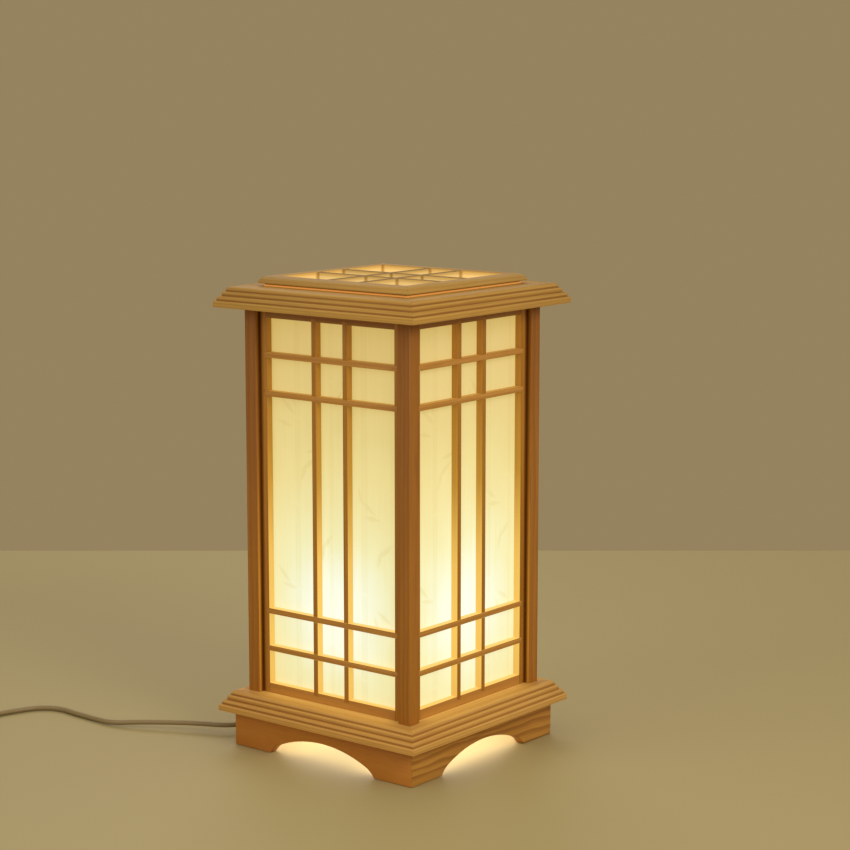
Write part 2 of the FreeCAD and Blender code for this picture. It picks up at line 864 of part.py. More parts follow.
def bulb_glass():
    """The pear-shaped glass: a neck, a straight flank and a round crown, one wall thick."""
    lean, rise = sine(d.glass_flank_angle), cosine(d.glass_flank_angle)
    radius = d.glass_width / 2
    inner_radius = radius - d.glass_wall
    neck_out = d.glass_neck_width / 2
    neck_in = neck_out - d.glass_wall

    def flank_rise(round_radius, neck):
        """How far up the straight flank goes, from the neck to the round crown."""
        return (round_radius * rise - neck) * rise / lean

    middle = d.glass_neck_length + flank_rise(radius, neck_out) + radius * lean
    leaves_out = (radius * rise, middle - radius * lean)
    leaves_in = (inner_radius * rise, middle - inner_radius * lean)
    meets_out = (neck_out, d.glass_neck_length)
    meets_in = (neck_in, leaves_in[1] - flank_rise(inner_radius, neck_in))
    body = new_body("bulb_glass")
    section = sketch_on(body, "XZ_Plane")
    outline(
        section,
        (neck_in, 0),
        (neck_out, 0),
        meets_out,
        leaves_out,
        (0, middle + radius, radius, 1),
        (0, middle + inner_radius),
        (*leaves_in, inner_radius, -1),
        meets_in,
    )
    revolve(body, section)
    place(body, bulb_level + d.cap_height)
    keep("bulb_glass", body)


def cone_along_x(body, start, length, first_width, last_width, height):
    """A tapered sleeve that lies along X, from start towards -X or, if length < 0, +X."""
    start, height = as_size(start), as_size(height)
    made = body.newObject("PartDesign::AdditiveCone", f"{body.Name}_sleeve")
    way = LEFTWARD if length.value > 0 else RIGHTWARD
    made.Placement = Placement(Vector(start.value, 0, height.value), Rotation(UP, way))
    made.setExpression("Placement.Base.x", start.formula)
    made.setExpression("Placement.Base.z", height.formula)
    made.setExpression("Height", f"abs({length.formula})")
    made.setExpression("Radius1", (first_width / 2).formula)
    made.setExpression("Radius2", (last_width / 2).formula)
    made.setExpression("Angle", "360")
    return made


grip_back = d.grip_offset - d.grip_length
cord_half = d.cord_width / 2


def cord_grip():
    """The block that clamps the lead under the strip, with its tapered strain relief."""
    body = new_body("cord_grip")
    plan = sketch_on(body, "XY_Plane")
    half = d.grip_width / 2
    rectangle(plan, grip_back, -half, d.grip_offset, half)
    pad(body, plan, d.grip_height, backwards=True)
    sleeve = (d.relief_length, d.relief_width, d.relief_tip_width)
    cone_along_x(body, grip_back, *sleeve, -d.grip_height / 2)
    place(body, strip_level)
    keep("cord_grip", body)


def rounded_route(points):
    """Straight runs joined by arcs, each as large as its two runs allow."""
    points = [Vector(*p) for p in points]
    edges, radii = [], []
    start = points[0]
    for before, here, after in zip(points, points[1:], points[2:]):
        come, leave = here - before, after - here
        turn = come.getAngle(leave)
        shorter = min(come.Length, leave.Length)
        trim = RUN_SHARE * shorter
        radii.append(trim / math.tan(turn / 2))
        come.normalize()
        leave.normalize()
        first, last = here - come * trim, here + leave * trim
        sagitta = trim * math.tan(turn / 4)
        inward = (leave - come).normalize()
        half_chord = first.distanceToPoint((first + last) / 2)
        top = (first + last) / 2 - inward * (half_chord * math.tan(turn / 4))
        if sagitta < TINY_SAGITTA:
            raise RuntimeError("three points of a route are in line")
        edges.append(Part.LineSegment(start, first).toShape())
        edges.append(Part.Arc(first, top, last).toShape())
        start = last
    edges.append(Part.LineSegment(start, points[-1]).toShape())
    return Part.Wire(edges), radii


def tube(label, wire, heading, radius):
    """A solid tube along the wire, checked against its section times its length."""
    ring = Part.Wire(Part.makeCircle(radius, wire.OrderedVertexes[0].Point, heading))
    shape = wire.makePipeShell([ring], True, False)
    expected = math.pi * radius**2 * wire.Length
    print(f"{label}: {wire.Length:.1f} mm long, volume share {shape.Volume / expected:.4f}")
    if abs(shape.Volume / expected - 1) > VOLUME_SHARE:
        raise RuntimeError(f"{label} has the wrong volume")
    piece = doc.addObject("Part::Feature", label)
    piece.Shape = shape
    keep(label, piece)


def free_stretch(label, points):
    """A free stretch of the lead, as a tube along its rounded route."""
    wire, radii = rounded_route(points)
    print(f"{label}: radii {', '.join(f'{r:.0f}' for r in radii)}")
    tube(label, wire, Vector(*points[1]) - Vector(*points[0]), cord_half.value)


def from_start(start, steps):
    return [start, *(tuple(a + b for a, b in zip(start, step)) for step in steps)]


def half_disc(sketch, radius, height, way):
    """The half of a disc above or below a height, as two quarter arcs."""
    outline(
        sketch,
        (-radius, height),
        (0, height + way * radius, radius, -way),
        (radius, height, radius, -way),
    )


switch_tip = d.switch_length / 2 + d.collar_length
pivot_height = d.switch_height - d.rocker_pivot_drop


def switch_base(x, y):
    """The lower half of the in-line switch, with the lower half of its two collars."""
    body = new_body("switch_base")
    plan = sketch_on(body, "XY_Plane")
    rounded_rectangle(plan, d.switch_width / 2, d.switch_length / 2, d.switch_corner)
    pad(body, plan, d.switch_split)
    collar = sketch_on(body, "XZ_Plane")
    half_disc(collar, d.collar_width / 2, d.switch_split, -1)
    pad(body, collar, 2 * switch_tip, both_ways=True)
    place(body, 0, 0, x, y)
    keep("switch_base", body)


def switch_cover(x, y):
    """The upper half of the switch, with the well and pivot holes of its rocker."""
    top = d.switch_height.value
    body = new_body("switch_cover")
    plan = sketch_on(body, "XY_Plane", d.switch_split)
    rounded_rectangle(plan, d.switch_width / 2, d.switch_length / 2, d.switch_corner)
    pad(body, plan, d.switch_height - d.switch_split)
    fillet(body, d.switch_edge, lambda e: abs(e.BoundBox.ZMin - top) < SAME_LENGTH)
    collar = sketch_on(body, "XZ_Plane")
    half_disc(collar, d.collar_width / 2, d.switch_split, 1)
    pad(body, collar, 2 * switch_tip, both_ways=True)
    well = sketch_on(body, "XY_Plane", d.switch_height)
    half_x = d.rocker_width / 2 + d.rocker_gap
    half_y = d.rocker_length / 2 + d.rocker_end_gap
    rectangle(well, -half_x, -half_y, half_x, half_y)
    pocket(body, well, d.switch_height - d.switch_split)
    holes = sketch_on(body, "YZ_Plane")
    circle(holes, 0, pivot_height, d.trunnion_width / 2 + d.trunnion_gap)
    reach = d.rocker_width + 2 * (d.trunnion_reach + d.rocker_gap)
    pocket(body, holes, reach, both_ways=True)
    place(body, 0, 0, x, y)
    keep("switch_cover", body)


def switch_rocker(x, y):
    """The rocker on its two trunnions, tilted to its on position."""
    half = d.rocker_length / 2
    keel = d.rocker_keel
    keel_half = half * d.rocker_keel_share
    edge = d.rocker_middle + half * sine(d.rocker_angle) / cosine(d.rocker_angle)
    waist = d.rocker_middle - d.rocker_gap
    body = new_body("switch_rocker")
    side = sketch_on(body, "YZ_Plane")
    outline(
        side,
        (0, d.rocker_middle),
        (-half, edge),
        (-half, edge - waist),
        (-keel_half, -keel * d.rocker_keel_share),
        (0, -keel, keel, 1),
        (keel_half, -keel * d.rocker_keel_share, keel, 1),
        (half, edge - waist),
        (half, edge),
    )
    pad(body, side, d.rocker_width, both_ways=True)
    pins = sketch_on(body, "YZ_Plane")
    circle(pins, 0, 0, d.trunnion_width / 2)
    pad(body, pins, d.rocker_width + 2 * d.trunnion_reach, both_ways=True)
    spot = Vector(x, y, pivot_height.value)
    body.Placement = Placement(spot, Rotation(RIGHTWARD, -d.rocker_angle.value))
    keep("switch_rocker", body)


def biarc(start, start_way, end, end_way):
    """Two arcs that leave start and reach end along the given directions."""
    gap = end - start
    both = start_way + end_way
    spread = 2 * (1 - start_way.dot(end_way))
    along = gap.dot(both)
    reach = (math.sqrt(along**2 + spread * gap.dot(gap)) - along) / spread
    first, last = start + start_way * reach, end - end_way * reach
    middle = (first + last) / 2
    return [arc_from(start, start_way, middle), arc_from(middle, middle - first, end)]


def arc_from(start, way, end):
    """The arc that leaves start along way and passes through end."""
    way = Vector(way).normalize()
    chord = end - start
    turn = way.getAngle(chord)
    side = (chord - way * chord.dot(way)).normalize()
    radius = chord.Length / (2 * math.sin(turn))
    middle = start + side * radius
    half_way = middle - side * (radius * math.cos(turn)) + way * (radius * math.sin(turn))
    return Part.Arc(start, half_way, end).toShape()


class Coil:
    """The put-away length: a spiral in, a climb of one layer, and a spiral out."""

    def __init__(self, start):
        pitch = d.cord_width.value + d.coil_gap.value
        halves = SIZES["coil_half_turn_count"]
        step = d.climb_step.value
        mean = d.coil_across_share.value * cord_half.value
        self.outer = mean + pitch * halves / 4
        self.start = Vector(*start)
        straight = FORWARD * d.cord_width.value
        self.middle = self.start + straight + Vector(self.outer, 0, 0)
        self.pitch = pitch
        radii = [self.outer - pitch * k / 2 for k in range(halves + 1)]
        radii[-1] -= step
        rise = [0] * len(radii)
        radii += [radii[-1]] + [self.outer - pitch * k / 2 for k in range(halves - 1, 0, -1)]
        rise += [pitch] * (len(radii) - len(rise))
        self.inner = min(radii)
        edges = [Part.LineSegment(self.start, self.start + straight).toShape()]
        here, way = self.start + straight, FORWARD
        for number, (radius, height) in enumerate(zip(radii[1:], rise[1:]), start=1):
            side = -1 if number % 2 == 0 else 1
            there = self.middle + Vector(side * radius, 0, height)
            edges += biarc(here, way, there, way * -1)
            here, way = there, way * -1
        last = self.middle + Vector(0, 1, 0) * (radii[-1] + pitch / 4) * way.y + Vector(0, 0, pitch)
        leave = Vector(-way.y, 0, 0)
        edges += biarc(here, way, last, leave)
        self.end = last + leave * d.cord_width.value
        edges.append(Part.LineSegment(last, self.end).toShape())
        self.wire = Part.Wire(edges)

    def least_gap(self):
        """The least clear distance between turns, measured on points of the line."""
        step = cord_half.value / 2
        points = self.wire.discretize(Distance=step)
        apart = round(math.pi * self.inner / 2 / step)
        nearest = min(
            (p - q).Length for n, p in enumerate(points) for q in points[n + apart :: 2]
        )
        return nearest - d.cord_width.value


def coil_tie(coil):
    """The soft band that holds the turns together on the coil's right-hand side."""
    inside = coil.inner - cord_half.value - d.tie_gap.value
    outside = coil.outer + cord_half.value + d.tie_gap.value
    low = coil.middle.z - cord_half.value - d.tie_gap.value
    high = coil.middle.z + coil.pitch + cord_half.value + d.tie_gap.value
    wall, width = d.tie_thick.value, d.tie_width.value
    grow = Vector(wall, 0, wall)
    corner = Vector(coil.middle.x + inside, coil.middle.y - width / 2, low)
    size = Vector(outside - inside, 0, high - low)
    hole = Part.makeBox(size.x, width, size.z, corner)
    band = Part.makeBox(size.x + 2 * wall, width, size.z + 2 * wall, corner - grow)
    long_edges = [e for e in band.Edges if abs(e.BoundBox.YLength - width) < SAME_LENGTH]
    piece = doc.addObject("Part::Feature", "coil_tie")
    piece.Shape = band.makeFillet(wall, long_edges).cut(hole)
    keep("coil_tie", piece)


def plug_body(x, y, z):
    """The moulded plug: a tapered strain relief that opens into a flattened grip."""
    body = new_body("plug_body")
    sleeve = (-d.plug_relief_length, d.plug_relief_tip_width, d.plug_relief_width)
    cone_along_x(body, 0, *sleeve, 0)
    sections = []
    for share, offset in (
        (d.plug_back_share, d.plug_relief_length),
        (as_size(1), d.plug_relief_length + d.plug_length),
    ):
        face = sketch_on(body, "YZ_Plane", offset)
        half_width, half_height = share * d.plug_width / 2, share * d.plug_height / 2
        rounded_rectangle(face, half_width, half_height, d.plug_corner)
        sections.append(face)
    grip = body.newObject("PartDesign::AdditiveLoft", "plug_grip")
    grip.Profile = sections[0]
    grip.Sections = sections[1:]
    grip.Ruled = True
    body.Placement = Placement(Vector(x, y, z), Rotation())
    keep("plug_body", body)


def plug_pins(x, y, z):
    """Two flat blades, standing on edge when the plug lies flat."""
    body = new_body("plug_pins")
    face = sketch_on(body, "YZ_Plane", d.plug_relief_length + d.plug_length)
    for way in (-1, 1):
        middle = way * d.pin_centres / 2
        near, far = middle - d.pin_thick / 2, middle + d.pin_thick / 2
        rectangle(face, near, -d.pin_width / 2, far, d.pin_width / 2)
    pad(body, face, d.pin_length)
    body.Placement = Placement(Vector(x, y, z), Rotation())
    keep("plug_pins", body)


for side, angle in SIDES.items():
    plinth_board(side, angle)
    ring_board("base_ring", side, angle, base_level, True)
    ring_board("cap_ring", side, angle, cap_level, False)
    window(side, angle)
    lid_board(side, angle)
for corner, angle in CORNERS.items():
    post(corner, angle)
grille_bars("grille_bars_x", 0, False)
grille_bars("grille_bars_y", 90, True)
lid_sheet()
lid_lip()
lamp_strip()
strip_screws()
holder_base()
holder_screws()
holder_shell()
holder_contacts()
bulb_cap()
bulb_glass()
cord_grip()

exit_point = (
    (grip_back - d.relief_length).value,
    0.0,
    (strip_level - d.grip_height / 2).value,
)
free_stretch("cord_to_switch", [exit_point, *ROUTE_TO_SWITCH])
switch_x, switch_entry_y = ROUTE_TO_SWITCH[-1][:2]
switch_y = switch_entry_y - switch_tip.value
switch_base(switch_x, switch_y)
switch_cover(switch_x, switch_y)
switch_rocker(switch_x, switch_y)
switch_exit = (switch_x, switch_y - switch_tip.value, ROUTE_TO_SWITCH[-1][2])
to_coil = from_start(switch_exit, ROUTE_TO_COIL)
free_stretch("cord_to_coil", to_coil)
coil = Coil(to_coil[-1])
tube("cord_coil", coil.wire, FORWARD, cord_half.value)
print(f"cord_coil: least gap between turns {coil.least_gap():.2f} mm")
coil_tie(coil)
to_plug = from_start(tuple(coil.end), ROUTE_TO_PLUG)
free_stretch("cord_to_plug", to_plug)
plug_body(*to_plug[-1])
plug_pins(*to_plug[-1])

doc.recompute()
for thing in doc.Objects:
    if {"Invalid", "Error"} & set(thing.State):
        raise RuntimeError(f"{thing.Label} is {thing.State}")
for label, piece in parts.items():
    if piece.Shape.isNull() or not piece.Shape.isValid():
        raise RuntimeError(f"{label} has no valid shape")

os.makedirs("parts", exist_ok=True)
for label, piece in parts.items():
    piece.Shape.exportStep(f"parts/{label}.step")
print(f"{len(parts)} parts, coil middle {tuple(coil.middle)}, coil end {tuple(coil.end)}")
print(f"plug starts at {to_plug[-1]}")
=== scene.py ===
import bmesh
import bpy
import math
from mathutils import Matrix, Vector


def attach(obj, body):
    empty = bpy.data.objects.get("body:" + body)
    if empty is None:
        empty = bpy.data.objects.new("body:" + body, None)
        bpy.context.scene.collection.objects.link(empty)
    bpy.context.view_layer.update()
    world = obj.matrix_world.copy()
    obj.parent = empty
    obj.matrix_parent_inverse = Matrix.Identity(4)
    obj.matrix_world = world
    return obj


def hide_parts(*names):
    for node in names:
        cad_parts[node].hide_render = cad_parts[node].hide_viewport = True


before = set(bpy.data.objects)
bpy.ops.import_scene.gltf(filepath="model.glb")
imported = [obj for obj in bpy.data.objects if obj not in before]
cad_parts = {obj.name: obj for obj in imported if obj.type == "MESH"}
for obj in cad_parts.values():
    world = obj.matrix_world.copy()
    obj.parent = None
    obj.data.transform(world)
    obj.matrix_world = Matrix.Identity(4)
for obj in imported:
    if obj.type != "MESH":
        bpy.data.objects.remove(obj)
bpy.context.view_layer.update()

# Camera
# It looks at the lantern's near corner from a little above the middle of its height,
# with a long lens.
CAMERA_AZIMUTH = math.radians(38.39)
CAMERA_ELEVATION = math.radians(9.16)
CAMERA_PLACE = (1.2709, -1.5591, 0.61375)
CAMERA_LENS_MM = 96.8
CAMERA_SENSOR_MM = 36


def placed(name, data):
    """A new object in the scene with this data."""
    piece = bpy.data.objects.new(name, data)
    bpy.context.scene.collection.objects.link(piece)
    return piece


camera = placed("camera", bpy.data.cameras.new("camera"))
camera.data.lens = CAMERA_LENS_MM
camera.data.sensor_width = CAMERA_SENSOR_MM
camera.data.clip_start = 0.05
camera.location = CAMERA_PLACE
camera.rotation_euler = (math.pi / 2 - CAMERA_ELEVATION, 0, CAMERA_AZIMUTH)
bpy.context.scene.camera = camera
bpy.context.scene.view_settings.view_transform = "Standard"

# Table top and studio light
# A plain pale table top, square to the camera, whose far edge meets a plain backdrop
# colour. Three broad lamps and the backdrop light the lantern evenly.
TABLE_HALF = 0.803
TABLE_DROP = 0.0002
TABLE_COLOUR = (0.395, 0.307, 0.124)
TABLE_ROUGHNESS = 0.6
BACKDROP_COLOUR = (0.302, 0.224, 0.114)
BACKDROP_LIGHT_COLOUR = (1.0, 0.97, 0.92)
BACKDROP_LIGHT = 0.62
LAMP_COLOUR = (1.0, 0.96, 0.90)
LAMP_AIM = Vector((0, 0, 0.2))

# Each lamp's place, its width and its watts.
STUDIO_LAMPS = {
    "key lamp": ((1.9, -0.5, 1.3), 1.0, 21.0),
    "fill lamp": ((-0.6, -2.0, 1.1), 1.2, 8.2),
    "back lamp": ((-1.4, 1.3, 1.6), 1.2, 9.0),
}


def linear(red, green, blue):
    """The linear colour of a display colour given from 0 to 255."""
    shares = (red / 255, green / 255, blue / 255)
    return tuple(s / 12.92 if s <= 0.04045 else ((s + 0.055) / 1.055) ** 2.4 for s in shares)


def calculate(tree, operation, *values, clamp=False):
    """A math node on sockets or plain numbers; gives its output socket."""
    node = tree.nodes.new("ShaderNodeMath")
    node.operation = operation
    node.use_clamp = clamp
    for number, value in enumerate(values):
        if isinstance(value, (int, float)):
            node.inputs[number].default_value = value
        else:
            tree.links.new(value, node.inputs[number])
    return node.outputs[0]


def new_material(name):
    """A new material, its node tree and its Principled shader."""
    material = bpy.data.materials.new(name)
    material.use_nodes = True
    tree = material.node_tree
    return material, tree, tree.nodes["Principled BSDF"]


def area_lamp(name, place, size, watts, colour):
    """A square lamp in its place, which looks straight down until it is turned."""
    lamp = placed(name, bpy.data.lights.new(name, "AREA"))
    lamp.data.size = size
    lamp.data.energy = watts
    lamp.data.color = colour
    lamp.location = place
    return lamp


table_form = bmesh.new()
bmesh.ops.create_grid(table_form, x_segments=1, y_segments=1, size=TABLE_HALF)
table_turn = Matrix.Rotation(CAMERA_AZIMUTH, 3, "Z")
bmesh.ops.rotate(table_form, verts=table_form.verts, matrix=table_turn)
bmesh.ops.translate(table_form, verts=table_form.verts, vec=(0, 0, -TABLE_DROP))
table = placed("table_top", bpy.data.meshes.new("table_top"))
table_form.to_mesh(table.data)
table_form.free()
table_paint, _, table_shader = new_material("table top paint")
table_shader.inputs["Base Color"].default_value = (*TABLE_COLOUR, 1)
table_shader.inputs["Roughness"].default_value = TABLE_ROUGHNESS
table.data.materials.append(table_paint)

backdrop = bpy.data.worlds.new("backdrop")
backdrop.use_nodes = True
bpy.context.scene.world = backdrop
backdrop_nodes = backdrop.node_tree.nodes
backdrop_links = backdrop.node_tree.links
seen = backdrop_nodes.new("ShaderNodeBackground")
seen.inputs["Color"].default_value = (*BACKDROP_COLOUR, 1)
lighting = backdrop_nodes["Background"]
lighting.inputs["Color"].default_value = (*BACKDROP_LIGHT_COLOUR, 1)
lighting.inputs["Strength"].default_value = BACKDROP_LIGHT
path = backdrop_nodes.new("ShaderNodeLightPath")
choice = backdrop_nodes.new("ShaderNodeMixShader")
shown = path.outputs["Is Camera Ray"]
for ray in ("Is Glossy Ray", "Is Transmission Ray"):
    shown = calculate(backdrop.node_tree, "ADD", shown, path.outputs[ray], clamp=True)
backdrop_links.new(shown, choice.inputs[0])
backdrop_links.new(lighting.outputs[0], choice.inputs[1])
backdrop_links.new(seen.outputs[0], choice.inputs[2])
backdrop_links.new(choice.outputs[0], backdrop_nodes["World Output"].inputs["Surface"])

for lamp_name, (place, size, watts) in STUDIO_LAMPS.items():
    lamp = area_lamp(lamp_name, place, size, watts, LAMP_COLOUR)
    aim = LAMP_AIM - Vector(place)
    lamp.rotation_euler = aim.to_track_quat("-Z", "Y").to_euler()

# The lit lantern's own light on the table, which leaves through the arches of the plinth.
UNDER_LIGHT_LEVEL = 0.018
UNDER_LIGHT_SIZE = 0.184
UNDER_LIGHT_WATTS = 0.22
UNDER_LIGHT_COLOUR = (0.98, 1.0, 0.96)
under_light = area_lamp(
    "under light", (0, 0, UNDER_LIGHT_LEVEL), UNDER_LIGHT_SIZE, UNDER_LIGHT_WATTS,
    UNDER_LIGHT_COLOUR,
)
under_light.visible_camera = False

# Plinth
# Four mitred pine boards on edge, each sawn to an arch between its feet. The boards are
# oiled, and their edges are eased by hand.
PLINTH_EASE = 0.0006
BOARD_AXES = {"front": "x", "right": "y", "back": "x", "left": "y"}
EASED_FROM_ANGLE = math.radians(30)
FLAT_ANGLE = math.radians(0.5)
SAME_POINT = 1e-6


def product(tree, first, *others):
    """Sockets or plain numbers multiplied together; gives the output socket."""
    for other in others:
        first = calculate(tree, "MULTIPLY", first, other)
    return first


def new_tree(name, inputs, outputs):
    """A shader node group with its sockets, and its input and output nodes."""
    tree = bpy.data.node_groups.new(name, "ShaderNodeTree")
    for socket_name, kind, value in inputs:
        socket = tree.interface.new_socket(socket_name, in_out="INPUT", socket_type=kind)
        if value is not None:
            socket.default_value = value
    for socket_name, kind in outputs:
        tree.interface.new_socket(socket_name, in_out="OUTPUT", socket_type=kind)
    return tree, tree.nodes.new("NodeGroupInput"), tree.nodes.new("NodeGroupOutput")


def stretched(tree, vector, scale):
    """The vector with each axis multiplied by its scale."""
    node = tree.nodes.new("ShaderNodeVectorMath")
    node.operation = "MULTIPLY"
    tree.links.new(vector, node.inputs[0])
    node.inputs[1].default_value = scale
    return node.outputs[0]


def split(tree, vector):
    """The X, Y and Z sockets of a vector."""
    node = tree.nodes.new("ShaderNodeSeparateXYZ")
    tree.links.new(vector, node.inputs[0])
    return node.outputs["X"], node.outputs["Y"], node.outputs["Z"]


def noise(tree, vector, scale, detail=2.0, roughness=0.5):
    """Soft random values about 0.5 over a vector; gives the output socket."""
    node = tree.nodes.new("ShaderNodeTexNoise")
    node.inputs["Scale"].default_value = scale
    node.inputs["Detail"].default_value = detail
    node.inputs["Roughness"].default_value = roughness
    tree.links.new(vector, node.inputs["Vector"])
    return node.outputs["Fac"]


def eased_step(tree, value, low, high):
    """0 below low, 1 above high, and a smooth rise between."""
    node = tree.nodes.new("ShaderNodeMapRange")
    node.interpolation_type = "SMOOTHSTEP"
    node.inputs["From Min"].default_value = low
    node.inputs["From Max"].default_value = high
    tree.links.new(value, node.inputs["Value"])
    return node.outputs["Result"]


def blended(tree, share, first, second, mode="MIX"):
    """Two colours mixed by a share; gives the output socket."""
    node = tree.nodes.new("ShaderNodeMix")
    node.data_type = "RGBA"
    node.blend_type = mode
    sockets = (node.inputs[0], node.inputs[6], node.inputs[7])
    for socket, value in zip(sockets, (share, first, second)):
        if isinstance(value, (int, float)):
            socket.default_value = value
        elif isinstance(value, tuple):
            socket.default_value = (*value, 1)
        else:
            tree.links.new(value, socket)
    return node.outputs[2]


def shaded(colour, share):
    """The colour brought down to a share of its light."""
    return tuple(share * part for part in colour)


def varied_gloss(tree, shader, roughness, texture, spread):
    """Lets the roughness spread about its mean as a texture does about a half."""
    gloss = calculate(tree, "ADD", product(tree, texture, spread), roughness - spread / 2)
    tree.links.new(gloss, shader.inputs["Roughness"])


# The growth rings are rounds about a pith line along the board; the fibres run with it,
# and a few short dark streaks lie between them. Each scale is along the board and across.
SWAY_SCALE = (5, 22, 22)
FIBRE_SCALE = (28, 1500, 1500)
DRIFT_SCALE = (6, 60, 60)
STREAK_SCALE = (16, 330, 330)
LATE_WOOD_START = (0.25, 0.88)
LATE_WOOD_END = (0.90, 1.0)
STREAK_START = (0.66, 0.80)
pine_figure, figure_in, figure_out = new_tree(
    "pine figure",
    [
        ("Grain", "NodeSocketVector", None),
        ("Ring Spacing", "NodeSocketFloat", 0.003),
        ("Sway", "NodeSocketFloat", 0.008),
    ],
    [(share_name, "NodeSocketFloat") for share_name in ("Rings", "Fibres", "Drift", "Streaks")],
)
grain = figure_in.outputs["Grain"]
_, grain_y, grain_z = split(pine_figure, grain)
sway = noise(pine_figure, stretched(pine_figure, grain, SWAY_SCALE), 1.0, 3.0)
sway = calculate(pine_figure, "SUBTRACT", sway, 0.5)
sway = product(pine_figure, sway, figure_in.outputs["Sway"])
across = calculate(pine_figure, "POWER", grain_y, 2.0)
upward = calculate(pine_figure, "POWER", grain_z, 2.0)
radius = calculate(pine_figure, "SQRT", calculate(pine_figure, "ADD", across, upward))
radius = calculate(pine_figure, "ADD", radius, sway)
turns = calculate(pine_figure, "DIVIDE", radius, figure_in.outputs["Ring Spacing"])
part_turn = calculate(pine_figure, "FRACT", turns)
late_rise = eased_step(pine_figure, part_turn, *LATE_WOOD_START)
late_fall = eased_step(pine_figure, part_turn, *LATE_WOOD_END)
rings = calculate(pine_figure, "SUBTRACT", late_rise, late_fall)
pine_figure.links.new(rings, figure_out.inputs["Rings"])
fibres = noise(pine_figure, stretched(pine_figure, grain, FIBRE_SCALE), 1.0, 3.0, 0.6)
pine_figure.links.new(fibres, figure_out.inputs["Fibres"])
drift = noise(pine_figure, stretched(pine_figure, grain, DRIFT_SCALE), 1.0, 2.0)
pine_figure.links.new(drift, figure_out.inputs["Drift"])
streaks = noise(pine_figure, stretched(pine_figure, grain, STREAK_SCALE), 1.0, 1.0)
streaks = eased_step(pine_figure, streaks, *STREAK_START)
pine_figure.links.new(streaks, figure_out.inputs["Streaks"])


def relief(material, height, depth, strength=1.0):
    """Raises a material's surface by a height socket, on top of the relief it has."""
    tree = material.node_tree
    shader = tree.nodes["Principled BSDF"]
    bump = tree.nodes.new("ShaderNodeBump")
    bump.inputs["Strength"].default_value = strength
    bump.inputs["Distance"].default_value = depth
    tree.links.new(height, bump.inputs["Height"])
    for link in shader.inputs["Normal"].links:
        tree.links.new(link.from_socket, bump.inputs["Normal"])
    tree.links.new(bump.outputs["Normal"], shader.inputs["Normal"])


# How strongly the drift of tone, the fibres and the pores show in every pine.
DRIFT_START = (0.35, 0.75)
DRIFT_SHARE = 0.35
FIBRE_START = (0.45, 0.8)
FIBRE_SHARE = 0.35
RING_HEIGHT = 0.35
PORE_DEPTH = 0.0001
PORE_STRENGTH = 0.45
PINE_GLOSS_SPREAD = 0.22
PINE_SHEEN = 0.25


def pine(name, light, dark, spacing, ring_share, roughness, sway=0.008, streaks=0.3):
    """Oiled pine: pale early wood, darker late-wood rings, and fine fibres that catch light."""
    material, tree, shader = new_material(name)
    figure = tree.nodes.new("ShaderNodeGroup")
    figure.node_tree = pine_figure
    figure.inputs["Ring Spacing"].default_value = spacing
    figure.inputs["Sway"].default_value = sway
    where = tree.nodes.new("ShaderNodeAttribute")
    where.attribute_name = "grain"
    tree.links.new(where.outputs["Vector"], figure.inputs["Grain"])
    ring_tint = product(tree, figure.outputs["Rings"], ring_share)
    colour = blended(tree, ring_tint, light, dark)
    drift_tint = eased_step(tree, figure.outputs["Drift"], *DRIFT_START)
    drift_tint = product(tree, drift_tint, DRIFT_SHARE)
    colour = blended(tree, drift_tint, colour, dark)
    fibre_tint = eased_step(tree, figure.outputs["Fibres"], *FIBRE_START)
    fibre_tint = product(tree, fibre_tint, FIBRE_SHARE)
    colour = blended(tree, fibre_tint, colour, shaded(dark, 0.6))
    streak_tint = product(tree, figure.outputs["Streaks"], streaks)
    colour = blended(tree, streak_tint, colour, shaded(dark, 0.45))
    tree.links.new(colour, shader.inputs["Base Color"])
    varied_gloss(tree, shader, roughness, figure.outputs["Fibres"], PINE_GLOSS_SPREAD)
    height = product(tree, figure.outputs["Rings"], RING_HEIGHT)
    height = calculate(tree, "ADD", height, figure.outputs["Fibres"])
    relief(material, height, PORE_DEPTH, PORE_STRENGTH)
    shader.inputs["Specular IOR Level"].default_value = PINE_SHEEN
    return material


def joined(form):
    """Joins a form's loose triangles into whole faces."""
    bmesh.ops.remove_doubles(form, verts=form.verts, dist=SAME_POINT)
    bmesh.ops.dissolve_limit(
        form, angle_limit=FLAT_ANGLE, verts=form.verts, edges=form.edges
    )
    return form


def merged_form(node):
    """A copy of a CAD solid's mesh with its loose triangles joined into whole faces."""
    form = bmesh.new()
    form.from_mesh(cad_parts[node].data)
    return joined(form)


def turned_grain(along, point):
    """The point's place in the board's own axes: along it, then twice across it."""
    x, y, z = point
    return {"x": (x, y, z), "y": (y, x, z), "z": (z, x, y)}[along]


def wooden(name, form, node, body, along, pith, material, ease):
    """Makes the form a wooden piece in its node's place, with eased edges and its grain."""
    mesh = bpy.data.meshes.new(name)
    form.to_mesh(mesh)
    form.free()
    mesh.shade_smooth()
    where = mesh.attributes.new("grain", "FLOAT_VECTOR", "POINT")
    for vertex in mesh.vertices:
        own = Vector(turned_grain(along, vertex.co)) + Vector(pith)
        where.data[vertex.index].vector = own
    mesh.materials.append(material)
    piece = placed(name, mesh)
    easing = piece.modifiers.new("eased edges", "BEVEL")
    easing.width = ease
    easing.segments = 2
    easing.limit_method = "ANGLE"
    easing.angle_limit = EASED_FROM_ANGLE
    easing.harden_normals = True
    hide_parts(node)
    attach(piece, body)


